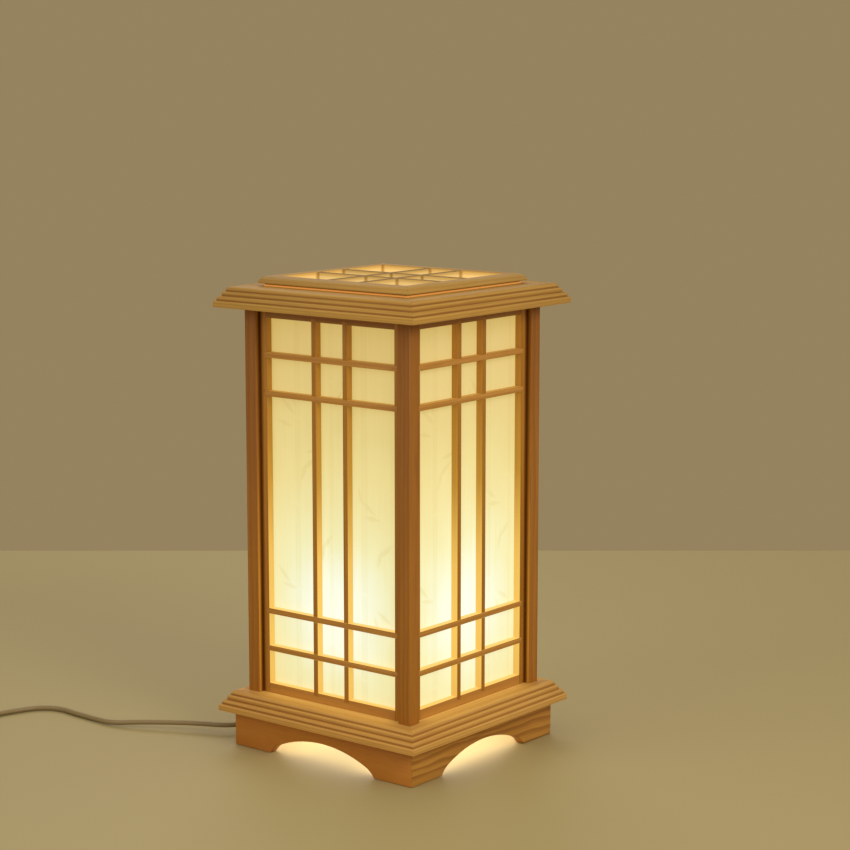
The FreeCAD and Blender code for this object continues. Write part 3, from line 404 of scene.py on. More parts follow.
plinth_smooth = pine(
    "smooth plinth pine", linear(185, 119, 42), linear(163, 95, 27),
    spacing=0.008, ring_share=0.35, roughness=0.55, sway=0.006, streaks=0.0,
)
plinth_striped = pine(
    "striped plinth pine", linear(190, 134, 54), linear(128, 74, 20),
    spacing=0.0062, ring_share=0.6, roughness=0.55, sway=0.03, streaks=0.95,
)

# Each board's shift from its own pith line, so that no two boards show the same grain.
PLINTH_PITHS = {
    "front": (0.10, 0.34, 0.02),
    "right": (0.27, 0.02, 0.21),
    "back": (0.45, -0.30, 0.03),
    "left": (0.71, 0.03, 0.25),
}
for side, along in BOARD_AXES.items():
    node = f"plinth_{side}"
    wood = plinth_smooth if along == "x" else plinth_striped
    wooden(f"{node}_board", merged_form(node), node, "lantern", along,
           PLINTH_PITHS[side], wood, PLINTH_EASE)

# Base ring and cap ring
# Two frames of four mitred mouldings. Each moulding has four stepped tiers with rounded
# noses, run on a spindle moulder from straight-grained pine.
RING_EASE = 0.0005
GLOW_LEVEL = 0.118
GLOW_REACH = 0.16
WELL_WALLS = (0.0146, 0.0206, 0.0705)
WELL_CORNER_SHARE = 0.35

# Where each share of the lantern's light fades, from none of it to all of it, in metres
# from the lantern's middle or above the table.
WINDOW_SIDES = (0.0727, 0.0724)
WINDOW_BOTTOM = (0.0588, 0.0591)
WINDOW_TOP = (0.3888, 0.3885)
LEDGE_DEPTH = (0.1165, 0.0807)
LEDGE_SIDES = (0.100, 0.060)
BAR_DEPTH = (0.0890, 0.0835)
GRILLE_SIDES = (0.0712, 0.0709)
GRILLE_HEIGHT = (0.4262, 0.4175)
WELL_CORNER = (0.0006, 0.0036)
RECESS_START = (0.0762, 0.0790)
RECESS_DEPTH = (0.0922, 0.0885)
RECESS_END = (0.0806, 0.0803)
POST_EDGE_DEPTH = (0.0880, 0.0915)
POST_EDGE_SIDES = (0.0815, 0.0803)

# How far a face is turned for the same shares, as parts of its normal.
OUTWARD_FACES = (0.2, 0.7)
LEDGE_FACES = (0.6, 0.95)
BAR_TOP_FACES = (0.5, 0.9)
WELL_FACES = (0.6, 0.3)


def surface_axes(tree, kind="Object"):
    """The X, Y and Z sockets of a point's place, or of the Normal there."""
    where = tree.nodes.new("ShaderNodeTexCoord")
    return split(tree, where.outputs[kind])


# The lantern's own light: how much of it reaches the faces that look along the paper, the
# ledges above and below the windows, the bars' top edges, the wells of the grille, and the
# posts' edges beside the paper. Corner is the shade between a post and its window.
lamp_spill, _, spill_out = new_tree(
    "lamp spill",
    [],
    [
        (share_name, "NodeSocketFloat")
        for share_name in ("Reveal", "Ledge", "Upward", "Well", "Corner", "Edge")
    ],
)
spill_x, spill_y, spill_z = surface_axes(lamp_spill)
normal_x, normal_y, normal_z = surface_axes(lamp_spill, "Normal")
facing_x = calculate(lamp_spill, "ABSOLUTE", normal_x)
facing_y = calculate(lamp_spill, "ABSOLUTE", normal_y)
facing_z = calculate(lamp_spill, "ABSOLUTE", normal_z)
reach_x = calculate(lamp_spill, "ABSOLUTE", spill_x)
reach_y = calculate(lamp_spill, "ABSOLUTE", spill_y)
depth = calculate(lamp_spill, "MAXIMUM", reach_x, reach_y)
sideways = calculate(lamp_spill, "MINIMUM", reach_x, reach_y)

on_side = calculate(lamp_spill, "GREATER_THAN", reach_x, reach_y)
on_front = calculate(lamp_spill, "SUBTRACT", 1.0, on_side)
facing_side = product(lamp_spill, facing_x, on_side)
facing_front = product(lamp_spill, facing_y, on_front)
facing = calculate(lamp_spill, "ADD", facing_side, facing_front)
outward_face = eased_step(lamp_spill, facing, *OUTWARD_FACES)
edgewise = calculate(lamp_spill, "SUBTRACT", 1.0, outward_face)
rise = calculate(lamp_spill, "SUBTRACT", spill_z, GLOW_LEVEL)
rise = calculate(lamp_spill, "POWER", calculate(lamp_spill, "DIVIDE", rise, GLOW_REACH), 2.0)
fall_off = calculate(lamp_spill, "DIVIDE", 1.0, calculate(lamp_spill, "ADD", rise, 1.0))
in_window = product(
    lamp_spill,
    eased_step(lamp_spill, sideways, *WINDOW_SIDES),
    eased_step(lamp_spill, spill_z, *WINDOW_BOTTOM),
    eased_step(lamp_spill, spill_z, *WINDOW_TOP),
)
reveal = product(lamp_spill, edgewise, fall_off, in_window)
lamp_spill.links.new(reveal, spill_out.inputs["Reveal"])

ledge = product(
    lamp_spill,
    eased_step(lamp_spill, depth, *LEDGE_DEPTH),
    eased_step(lamp_spill, sideways, *LEDGE_SIDES),
    eased_step(lamp_spill, facing_z, *LEDGE_FACES),
    fall_off,
)
lamp_spill.links.new(ledge, spill_out.inputs["Ledge"])

upward = product(
    lamp_spill,
    eased_step(lamp_spill, normal_z, *BAR_TOP_FACES),
    calculate(lamp_spill, "POWER", fall_off, 2.0),
    in_window,
    eased_step(lamp_spill, depth, *BAR_DEPTH),
)
lamp_spill.links.new(upward, spill_out.inputs["Upward"])

from_corner = 0.0
for reach in (reach_x, reach_y):
    nearest = 1.0
    for wall in WELL_WALLS:
        off_wall = calculate(lamp_spill, "SUBTRACT", reach, wall)
        off_wall = calculate(lamp_spill, "ABSOLUTE", off_wall)
        nearest = calculate(lamp_spill, "MINIMUM", nearest, off_wall)
    from_corner = calculate(lamp_spill, "MAXIMUM", from_corner, nearest)
open_share = eased_step(lamp_spill, from_corner, *WELL_CORNER)
open_share = product(lamp_spill, open_share, 1 - WELL_CORNER_SHARE)
open_share = calculate(lamp_spill, "ADD", WELL_CORNER_SHARE, open_share)
well = product(
    lamp_spill,
    eased_step(lamp_spill, facing_z, *WELL_FACES),
    eased_step(lamp_spill, depth, *GRILLE_SIDES),
    eased_step(lamp_spill, spill_z, *GRILLE_HEIGHT),
    open_share,
)
lamp_spill.links.new(well, spill_out.inputs["Well"])

corner = product(
    lamp_spill,
    eased_step(lamp_spill, sideways, *RECESS_START),
    eased_step(lamp_spill, depth, *RECESS_DEPTH),
    eased_step(lamp_spill, sideways, *RECESS_END),
)
lamp_spill.links.new(corner, spill_out.inputs["Corner"])

edge_light = product(
    lamp_spill,
    edgewise,
    eased_step(lamp_spill, depth, *POST_EDGE_DEPTH),
    eased_step(lamp_spill, sideways, *POST_EDGE_SIDES),
    fall_off,
)
lamp_spill.links.new(edge_light, spill_out.inputs["Edge"])


def colours_along(tree, share, stops):
    """The colour at a share, from stops that run from 0 to 1; gives the output socket."""
    ramp = tree.nodes.new("ShaderNodeValToRGB")
    elements = ramp.color_ramp.elements
    elements[0].color = (*stops[0][1], 1)
    elements[1].color = (*stops[-1][1], 1)
    for stop, colour in stops[1:-1]:
        elements.new(stop).color = (*colour, 1)
    tree.links.new(share, ramp.inputs["Fac"])
    return ramp.outputs["Color"]


def lit_by_lamp(material, share_name, stops):
    """Adds the lantern's light to a wood; gives the shares and the light's socket."""
    tree = material.node_tree
    shares = tree.nodes.new("ShaderNodeGroup")
    shares.node_tree = lamp_spill
    light = colours_along(tree, shares.outputs[share_name], stops)
    shader = tree.nodes["Principled BSDF"]
    tree.links.new(light, shader.inputs["Emission Color"])
    shader.inputs["Emission Strength"].default_value = 1.0
    return shares.outputs, light


def darkened(material, share, colour):
    """Lays a darker tone over a wood's colour where the share, a socket, asks for it."""
    tree = material.node_tree
    shader = tree.nodes["Principled BSDF"]
    own = shader.inputs["Base Color"].links[0].from_socket
    tree.links.new(blended(tree, share, own, colour, "MULTIPLY"), shader.inputs["Base Color"])


UNLIT = (0.0, (0, 0, 0))
LEDGE_LIGHT = (UNLIT, (0.5, (0.17, 0.10, 0.020)), (1.0, (0.44, 0.28, 0.065)))
ring_pine = pine(
    "moulding pine", linear(203, 153, 74), linear(176, 121, 49),
    spacing=0.0024, ring_share=0.45, roughness=0.6, sway=0.003, streaks=0.12,
)
lit_by_lamp(ring_pine, "Ledge", LEDGE_LIGHT)

# The inner corner of each step is darkened with painted shade. The cap's boards
# are darker and yellower with painted shade, as less light reaches the top.
RING_LEVELS = (0.0323, 0.3971)
RING_GROOVES = ((0.0059, 0.1103), (0.0098, 0.1069), (0.0140, 0.1045))
GROOVE_FADE = (0.0021, 0.0005)
GROOVE_PAINTED_SHADE = (0.66, 0.54, 0.38)
CAP_FROM = 0.39
CAP_PAINTED_SHADE = (0.80, 0.81, 0.66)
ring_tree = ring_pine.node_tree
ring_x, ring_y, ring_z = surface_axes(ring_tree)
ring_depth = calculate(
    ring_tree,
    "MAXIMUM",
    calculate(ring_tree, "ABSOLUTE", ring_x),
    calculate(ring_tree, "ABSOLUTE", ring_y),
)
groove_shade_share = 0.0
for level in RING_LEVELS:
    for groove_level, groove_face in RING_GROOVES:
        off_level = calculate(ring_tree, "SUBTRACT", ring_z, level + groove_level)
        off_level = calculate(ring_tree, "ABSOLUTE", off_level)
        off_face = calculate(ring_tree, "SUBTRACT", ring_depth, groove_face)
        off_face = calculate(ring_tree, "ABSOLUTE", off_face)
        away = calculate(ring_tree, "ADD", off_level, off_face)
        line = eased_step(ring_tree, away, *GROOVE_FADE)
        groove_shade_share = calculate(ring_tree, "MAXIMUM", groove_shade_share, line)
darkened(ring_pine, groove_shade_share, GROOVE_PAINTED_SHADE)
# Painted shade: the cap ring is darker and yellower than the base ring.
darkened(ring_pine, calculate(ring_tree, "GREATER_THAN", ring_z, CAP_FROM), CAP_PAINTED_SHADE)
RING_PITHS = {
    "front": (0.13, 0.05, 0.24),
    "right": (0.38, 0.03, 0.27),
    "back": (0.57, 0.06, 0.22),
    "left": (0.83, 0.04, 0.31),
}
CAP_PITH_SHIFT = Vector((0.31, 0.013, 0.017))
for number, ring in enumerate(("base", "cap")):
    for side, along in BOARD_AXES.items():
        node = f"{ring}_ring_{side}"
        pith = Vector(RING_PITHS[side]) + CAP_PITH_SHIFT * number
        wooden(f"{node}_moulding", merged_form(node), node, "lantern",
               along, pith, ring_pine, RING_EASE)

# Lamp strip and its screws
# A bare pine strip under the base ring, from back to front. Four plated wood screws hold
# it up, and it carries the lamp holder.
STRIP_EASE = 0.0005
strip_pine = pine(
    "bare pine", linear(205, 170, 118), linear(168, 124, 72),
    spacing=0.004, ring_share=0.6, roughness=0.6,
)
wooden("lamp_strip_board", merged_form("lamp_strip"), "lamp_strip", "lantern",
       "y", (0.2, 0.05, 0.19), strip_pine, STRIP_EASE)

METAL_WEAR = 0.5
METAL_GLOSS_SPREAD = 0.2


def turned_metal(name, colour, roughness, scale):
    """Plated or brushed metal with faint wear in its polish."""
    material, tree, shader = new_material(name)
    where = tree.nodes.new("ShaderNodeTexCoord")
    wear = noise(tree, where.outputs["Object"], scale, 4.0)
    worn = blended(tree, product(tree, wear, METAL_WEAR), colour, shaded(colour, 0.7))
    tree.links.new(worn, shader.inputs["Base Color"])
    varied_gloss(tree, shader, roughness, wear, METAL_GLOSS_SPREAD)
    shader.inputs["Metallic"].default_value = 1.0
    return material


def finished(material, *nodes):
    """Gives a material to solids that the scene keeps as they are."""
    for node in nodes:
        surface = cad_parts[node].data.materials
        surface.clear()
        surface.append(material)


screw_steel = turned_metal("zinc plate", (0.62, 0.62, 0.60), roughness=0.35, scale=900)
finished(screw_steel, "strip_screws", "holder_screws")

# Lamp holder
# A white moulded holder screwed to the strip: a flanged foot, a tapered barrel, and a
# brass sleeve and centre contact inside it.
MOULD_CLOUD_SCALE = 60
MOULD_CLOUDINESS = 0.12
MOULD_SKIN_SCALE = 2600
MOULD_SKIN_DEPTH = 0.00003
MOULD_SKIN_STRENGTH = 0.35
MOULD_GLOSS_SPREAD = 0.16


def moulded(name, colour, roughness):
    """Moulded plastic with a slight cloudiness and the fine skin of its mould."""
    material, tree, shader = new_material(name)
    where = tree.nodes.new("ShaderNodeTexCoord")
    cloud = noise(tree, where.outputs["Object"], MOULD_CLOUD_SCALE, 3.0)
    cloud = product(tree, cloud, MOULD_CLOUDINESS)
    tree.links.new(blended(tree, cloud, colour, shaded(colour, 0.6)), shader.inputs["Base Color"])
    skin = noise(tree, where.outputs["Object"], MOULD_SKIN_SCALE, 2.0)
    varied_gloss(tree, shader, roughness, skin, MOULD_GLOSS_SPREAD)
    relief(material, skin, MOULD_SKIN_DEPTH, MOULD_SKIN_STRENGTH)
    return material


holder_plastic = moulded("white thermoset", linear(232, 228, 216), roughness=0.35)
sleeve_brass = turned_metal("socket brass", (0.78, 0.57, 0.26), roughness=0.3, scale=500)
finished(holder_plastic, "holder_base", "holder_shell")
finished(sleeve_brass, "holder_contacts")

# Bulb
# A pear-shaped glass, frosted inside, on a pressed aluminium screw cap. It is lit, and its
# neck is dimmer than the rest.
BULB_THREAD_PITCH = 0.0036
BULB_THREAD_DEPTH = 0.0006
GLASS_COLOUR = (0.9, 0.85, 0.72)
GLASS_RISE = (0.083, 0.115)
NECK_GLOW = (0.50, 0.30, 0.10)
GLASS_GLOW = (1.0, 0.80, 0.48)
GLASS_STRENGTH = 14.0


def waves(tree, place, pitch):
    """Smooth waves from 0 to 1 along a place, one for each pitch."""
    turned = calculate(tree, "SINE", product(tree, place, 2 * math.pi / pitch))
    return calculate(tree, "ADD", product(tree, turned, 0.5), 0.5)


cap_aluminium = turned_metal("cap aluminium", (0.80, 0.80, 0.78), roughness=0.3, scale=400)
cap_tree = cap_aluminium.node_tree
_, _, cap_z = surface_axes(cap_tree)
relief(cap_aluminium, waves(cap_tree, cap_z, BULB_THREAD_PITCH), BULB_THREAD_DEPTH)
finished(cap_aluminium, "bulb_cap")

lit_glass, lit_tree, lit_shader = new_material("lit frosted glass")
lit_shader.inputs["Base Color"].default_value = (*GLASS_COLOUR, 1)
lit_shader.inputs["Roughness"].default_value = 0.5
_, _, lit_z = surface_axes(lit_tree)
lit_rise = eased_step(lit_tree, lit_z, *GLASS_RISE)
lit_glow = blended(lit_tree, lit_rise, NECK_GLOW, GLASS_GLOW)
lit_tree.links.new(lit_glow, lit_shader.inputs["Emission Color"])
lit_shader.inputs["Emission Strength"].default_value = GLASS_STRENGTH
finished(lit_glass, "bulb_glass")

# Posts
# Four square posts with eased edges, cut from straight-grained pine and tenoned into
# the two rings.
POST_EASE = 0.0004
POST_RISE = (0.10, 0.40)
POST_TOP_PAINTED_SHADE = (0.72, 0.66, 0.48)
RECESS_SHADE = (0.40, 0.30, 0.12)
EDGE_LIGHT = (UNLIT, (0.5, (0.06, 0.025, 0.002)), (1.0, (0.22, 0.11, 0.010)))
post_pine = pine(
    "post pine", linear(172, 112, 38), linear(142, 84, 24),
    spacing=0.0045, ring_share=0.4, roughness=0.5,
)
post_shares, _ = lit_by_lamp(post_pine, "Edge", EDGE_LIGHT)
post_tree = post_pine.node_tree
_, _, post_z = surface_axes(post_tree)
# Painted shade: the posts darken towards the top, under the cap ring.
darkened(post_pine, eased_step(post_tree, post_z, *POST_RISE), POST_TOP_PAINTED_SHADE)
darkened(post_pine, post_shares["Corner"], RECESS_SHADE)
for number, corner in enumerate(("front_right", "back_right", "back_left", "front_left")):
    node = f"post_{corner}"
    pith = (0.2 + 0.41 * number, 0.27 + 0.03 * number, 0.05 + 0.11 * number)
    wooden(f"{node}_upright", merged_form(node), node, "lantern", "z",
           pith, post_pine, POST_EASE)

# Windows
# Each window has two stiles, two rails and six thin bars, halved into one another and
# let into the frame, flush on the outside. The paper behind them lights their sides.
BAR_EASE = 0.0003
STILE_INNER = 0.0722
JUST_INSIDE = 0.0001
REVEAL_LIGHT = (
    UNLIT,
    (0.3, (0.08, 0.045, 0.006)),
    (0.6, (0.19, 0.135, 0.018)),
    (0.88, (0.53, 0.38, 0.083)),
    (1.0, (0.59, 0.44, 0.096)),
)
BAR_TOP_LIGHT = (0.70, 0.45, 0.125)
UNDER_CAP_RISE = (0.384, 0.390)
UNDER_CAP_PAINTED_SHADE = (0.62, 0.56, 0.42)


def lattice_wood(name, light, dark):
    """Straight-grained pine whose sides and top edges take up the light of the paper."""
    material = pine(
        name, light, dark,
        spacing=0.004, ring_share=0.4, roughness=0.5, sway=0.006, streaks=0.1,
    )
    shares, glow = lit_by_lamp(material, "Reveal", REVEAL_LIGHT)
    tree = material.node_tree
    tops = blended(tree, shares["Upward"], glow, BAR_TOP_LIGHT)
    tree.links.new(tops, tree.nodes["Principled BSDF"].inputs["Emission Color"])
    darkened(material, shares["Corner"], RECESS_SHADE)
    return material


cross_pine = lattice_wood("crossbar pine", linear(192, 136, 58), linear(164, 104, 35))
upright_pine = lattice_wood("upright pine", linear(174, 118, 38), linear(148, 90, 22))
cross_tree = cross_pine.node_tree
_, _, cross_z = surface_axes(cross_tree)
# Painted shade: the crossbars darken just under the cap ring.
darkened(cross_pine, eased_step(cross_tree, cross_z, *UNDER_CAP_RISE), UNDER_CAP_PAINTED_SHADE)


def frame_members(side):
    """The stiles and the rails of one window frame, as two forms from the one CAD solid."""
    forms = []
    for wanted in ("stile", "rail"):
        form = bmesh.new()
        form.from_mesh(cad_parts[f"window_frame_{side}"].data)
        form.normal_update()
        wrong = []
        for face in form.faces:
            inside = face.calc_center_median() - face.normal * JUST_INSIDE
            reach = abs(inside.x if BOARD_AXES[side] == "x" else inside.y)
            if (reach > STILE_INNER) != (wanted == "stile"):
                wrong.append(face)
        bmesh.ops.delete(form, geom=wrong, context="FACES")
        forms.append((wanted, joined(form)))
    return forms


for number, (side, level_axis) in enumerate(BOARD_AXES.items()):
    shift = 0.29 * number
    for member, form in frame_members(side):
        along = "z" if member == "stile" else level_axis
        wood = upright_pine if member == "stile" else cross_pine
        wooden(f"window_{member}s_{side}", form, f"window_frame_{side}", "lantern",
               along, (shift, 0.31, 0.06), wood, BAR_EASE)
    wooden(f"upright_bars_{side}", merged_form(f"uprights_{side}"), f"uprights_{side}",
           "lantern", "z", (shift + 0.1, 0.28, 0.09), upright_pine, BAR_EASE)
    wooden(f"cross_bars_{side}", merged_form(f"crossbars_{side}"), f"crossbars_{side}",
           "lantern", level_axis, (shift + 0.2, 0.26, 0.07), cross_pine,
           BAR_EASE)

# Window paper
# Milky laminated paper with faint upright fibres and a faint print of bamboo. The bulb
# behind it makes it brightest low down, and more golden towards the top.
PAPER_BRIGHTEST = 0.132
PAPER_REACH = 0.27
PAPER_FIBRES = (520, 520, 14)
PAPER_CLOUDS = 22
PAPER_UNEVENNESS = 0.10
PAPER_TINTS = ((0.34, 0.27, 0.15), (0.28, 0.22, 0.12))
PRINT_TINT = (0.92, 0.91, 0.86)
PRINT_SHARE = 0.8
PRINT_DEPTH = 0.02
PAPER_GLOW = (
    (0.0, (0.80, 0.86, 0.75)),
    (0.10, (0.73, 0.82, 0.69)),
    (0.26, (0.67, 0.68, 0.38)),
    (0.36, (0.65, 0.61, 0.29)),
    (0.50, (0.61, 0.53, 0.205)),
    (0.63, (0.55, 0.455, 0.155)),
    (0.78, (0.51, 0.395, 0.118)),
    (1.0, (0.46, 0.322, 0.070)),
)

# Each leaf's middle across the sheet and above the table, its turn in degrees and its
# length.
LEAVES = (
    (-0.052, 0.310, 40, 0.026),
    (-0.047, 0.318, 75, 0.022),
    (-0.058, 0.296, 15, 0.024),
    (-0.030, 0.262, -35, 0.028),
    (-0.036, 0.254, -70, 0.024),
    (-0.024, 0.274, -10, 0.024),
    (0.012, 0.330, 60, 0.024),
    (0.004, 0.322, 115, 0.022),
    (0.036, 0.232, 35, 0.028),
    (0.041, 0.222, 5, 0.026),
    (0.029, 0.240, 70, 0.022),
    (0.058, 0.196, -40, 0.028),
    (0.050, 0.188, -75, 0.024),
    (0.056, 0.136, 30, 0.026),
    (0.047, 0.128, 65, 0.024),
    (-0.008, 0.196, -50, 0.026),
    (-0.014, 0.186, -85, 0.022),
    (-0.060, 0.160, 45, 0.026),
    (-0.053, 0.150, 10, 0.024),
)

# Each stalk's place across the sheet and its width.
STALKS = ((-0.043, 0.0065), (-0.004, 0.0045), (0.033, 0.0075), (0.064, 0.0040))
STALK_MIDDLE_TONE = 0.35
STALK_SIDE_TONE = 0.8
JOINTS_PER_METRE = 13.0
JOINT_STAGGER = 7
JOINT_GAP = (0.0, 0.05)
LEAF_EDGE = (0.0, 0.45)

bamboo_print, print_in, print_out = new_tree(
    "bamboo print", [("Sheet", "NodeSocketVector", None)], [("Print", "NodeSocketFloat")]
)
sheet_x, _, sheet_z = split(bamboo_print, print_in.outputs["Sheet"])
print_share = 0.0
for place, width in STALKS:
    off_middle = calculate(bamboo_print, "SUBTRACT", sheet_x, place)
    off_middle = calculate(bamboo_print, "ABSOLUTE", off_middle)
    edge = eased_step(bamboo_print, off_middle, width * 0.5, width * 0.38)
    joint = calculate(bamboo_print, "ADD", sheet_z, place * JOINT_STAGGER)
    joint = product(bamboo_print, joint, JOINTS_PER_METRE)
    joint = calculate(bamboo_print, "FRACT", joint)
    gap = eased_step(bamboo_print, joint, *JOINT_GAP)
    to_side = (STALK_SIDE_TONE - STALK_MIDDLE_TONE) / (width / 2)
    tone = product(bamboo_print, off_middle, to_side)
    tone = calculate(bamboo_print, "ADD", STALK_MIDDLE_TONE, tone)
    stalk = product(bamboo_print, edge, gap, tone)
    print_share = calculate(bamboo_print, "MAXIMUM", print_share, stalk)
for place, level, angle, length in LEAVES:
    own = bamboo_print.nodes.new("ShaderNodeMapping")
    own.vector_type = "TEXTURE"
    own.inputs["Location"].default_value = (place, 0, level)
    own.inputs["Rotation"].default_value = (0, math.radians(angle), 0)
    own.inputs["Scale"].default_value = (length / 2, 1, length / 9)
    bamboo_print.links.new(print_in.outputs["Sheet"], own.inputs["Vector"])
    leaf_x, _, leaf_z = split(bamboo_print, own.outputs[0])
    along_leaf = calculate(bamboo_print, "ABSOLUTE", leaf_x)
    taper = calculate(bamboo_print, "SUBTRACT", 1.0, along_leaf)
    taper = calculate(bamboo_print, "MAXIMUM", taper, 0.0)
    half_width = calculate(bamboo_print, "POWER", taper, 0.8)
    off_vein = calculate(bamboo_print, "ABSOLUTE", leaf_z)
    within = calculate(bamboo_print, "SUBTRACT", half_width, off_vein)
    leaf = eased_step(bamboo_print, within, *LEAF_EDGE)
    print_share = calculate(bamboo_print, "MAXIMUM", print_share, leaf)
bamboo_print.links.new(print_share, print_out.inputs["Print"])

paper, paper_tree, paper_shader = new_material("lit window paper")
paper_place = paper_tree.nodes.new("ShaderNodeTexCoord").outputs["Object"]
paper_x, paper_y, paper_z = split(paper_tree, paper_place)
on_side = calculate(
    paper_tree,
    "GREATER_THAN",
    calculate(paper_tree, "ABSOLUTE", paper_x),
    calculate(paper_tree, "ABSOLUTE", paper_y),
)
sheet_width = paper_tree.nodes.new("ShaderNodeMix")
paper_tree.links.new(on_side, sheet_width.inputs[0])
paper_tree.links.new(paper_x, sheet_width.inputs[2])
paper_tree.links.new(paper_y, sheet_width.inputs[3])
flat_place = paper_tree.nodes.new("ShaderNodeCombineXYZ")
paper_tree.links.new(sheet_width.outputs[0], flat_place.inputs["X"])
paper_tree.links.new(paper_z, flat_place.inputs["Z"])
printed = paper_tree.nodes.new("ShaderNodeGroup")
printed.node_tree = bamboo_print
paper_tree.links.new(flat_place.outputs[0], printed.inputs["Sheet"])
paper_fibres = noise(paper_tree, stretched(paper_tree, paper_place, PAPER_FIBRES), 1.0, 3.0)
paper_cloud = noise(paper_tree, paper_place, PAPER_CLOUDS, 2.0)
off_middle = calculate(paper_tree, "POWER", sheet_width.outputs[0], 2.0)
off_level = calculate(paper_tree, "SUBTRACT", paper_z, PAPER_BRIGHTEST)
off_level = calculate(paper_tree, "POWER", off_level, 2.0)
away = calculate(paper_tree, "SQRT", calculate(paper_tree, "ADD", off_middle, off_level))
away = calculate(paper_tree, "DIVIDE", away, PAPER_REACH)
for texture in (paper_fibres, paper_cloud):
    change = calculate(paper_tree, "SUBTRACT", texture, 0.5)
    away = calculate(paper_tree, "ADD", away, product(paper_tree, change, PAPER_UNEVENNESS))
print_change = product(paper_tree, printed.outputs["Print"], PRINT_DEPTH)
away = calculate(paper_tree, "ADD", away, print_change)
paper_glow = colours_along(paper_tree, away, PAPER_GLOW)
print_tint = product(paper_tree, printed.outputs["Print"], PRINT_SHARE)
paper_glow = blended(paper_tree, print_tint, paper_glow, PRINT_TINT, "MULTIPLY")
paper_tree.links.new(paper_glow, paper_shader.inputs["Emission Color"])
paper_shader.inputs["Emission Strength"].default_value = 1.0
paper_tint = blended(paper_tree, product(paper_tree, paper_fibres, 0.3), *PAPER_TINTS)
paper_tree.links.new(paper_tint, paper_shader.inputs["Base Color"])
paper_shader.inputs["Roughness"].default_value = 0.55
finished(paper, *[f"paper_{side}" for side in BOARD_AXES])

# Lid
# A mitred frame with a rounded top edge and a grille of halved bars, on a milky sheet
# whose lit edge shows under the frame. A lip under the sheet centres it in the cap ring.
LID_EASE = 0.0004
WELL_LIGHT = (UNLIT, (0.5, (0.35, 0.24, 0.07)), (1.0, (0.62, 0.46, 0.18)))
DIFFUSER_COLOUR = (0.34, 0.24, 0.10)
DIFFUSER_GLOWS = (linear(216, 168, 84), linear(200, 150, 70))
DIFFUSER_EDGE_GLOW = linear(206, 122, 38)
DIFFUSER_EDGE_FACES = (0.7, 0.3)
DIFFUSER_STRENGTH = 0.85
lid_pine = pine(
    "lid pine", linear(180, 138, 64), linear(154, 109, 41),
    spacing=0.0032, ring_share=0.4, roughness=0.6, sway=0.004, streaks=0.12,
)
grille_pine = pine(
    "grille pine", linear(150, 114, 54), linear(120, 86, 36),
    spacing=0.0032, ring_share=0.4, roughness=0.7, sway=0.004, streaks=0.12,
)
for wood in (lid_pine, grille_pine):
    lit_by_lamp(wood, "Well", WELL_LIGHT)
for number, (side, along) in enumerate(BOARD_AXES.items()):
    wooden(f"lid_rail_{side}", merged_form(f"lid_{side}"), f"lid_{side}", "lid",
           along, (0.19 + 0.3 * number, 0.05, 0.23), lid_pine, LID_EASE)
for node, along in (("grille_bars_x", "x"), ("grille_bars_y", "y"), ("lid_lip", "x")):
    wooden(f"{node}_wood", merged_form(node), node, "lid", along,
           (0.44, 0.25, 0.05), grille_pine, BAR_EASE)
diffuser, diffuser_tree, diffuser_shader = new_material("lit diffuser sheet")
diffuser_place = diffuser_tree.nodes.new("ShaderNodeTexCoord").outputs["Object"]
diffuser_cloud = noise(diffuser_tree, diffuser_place, 40, 2.0)
diffuser_glow = blended(diffuser_tree, diffuser_cloud, *DIFFUSER_GLOWS)
_, _, sheet_normal = surface_axes(diffuser_tree, "Normal")
edge_share = calculate(diffuser_tree, "ABSOLUTE", sheet_normal)
edge_share = eased_step(diffuser_tree, edge_share, *DIFFUSER_EDGE_FACES)
diffuser_glow = blended(diffuser_tree, edge_share, diffuser_glow, DIFFUSER_EDGE_GLOW)
diffuser_tree.links.new(diffuser_glow, diffuser_shader.inputs["Emission Color"])
diffuser_shader.inputs["Emission Strength"].default_value = DIFFUSER_STRENGTH
diffuser_shader.inputs["Base Color"].default_value = (*DIFFUSER_COLOUR, 1)
finished(diffuser, "lid_diffuser")

# Cord grip
# A soft moulded block under the strip that clamps the lead, with a tapered sleeve towards
# the arch. Its plastic is that of the lead.
lead_plastic = moulded("soft lead plastic", linear(137, 116, 74), roughness=0.4)
finished(lead_plastic, "cord_grip")

# Lead to the switch
# A round lead in soft plastic. It drops from its grip, leaves through the left arch and
# wanders over the table to the switch.
LEAD_RADIUS = 0.0023
LEAD_TO_SWITCH = (
    (-0.0310, 0.0, 0.0193),
    (-0.0490, 0.0, 0.0193),
    (-0.0670, -0.0040, 0.0158),
    (-0.0840, -0.0140, 0.0108),
    (-0.1010, -0.0300, 0.0080),
    (-0.1130, -0.0560, 0.0077),
    (-0.1285, -0.0830, 0.0077),
    (-0.1560, -0.0945, 0.0077),
    (-0.1820, -0.1085, 0.0070),
    (-0.2080, -0.1220, 0.0056),
    (-0.2310, -0.1325, 0.0030),
    (-0.2540, -0.1314, 0.00245),
    (-0.2790, -0.1304, 0.00245),
    (-0.3050, -0.1275, 0.00245),
    (-0.3230, -0.1380, 0.00245),
    (-0.3320, -0.1570, 0.00245),
    (-0.3370, -0.1760, 0.0024),
    (-0.3387, -0.1880, 0.0042),
    (-0.3390, -0.1995, 0.0070),
    (-0.3390, -0.2090, 0.0070),
)


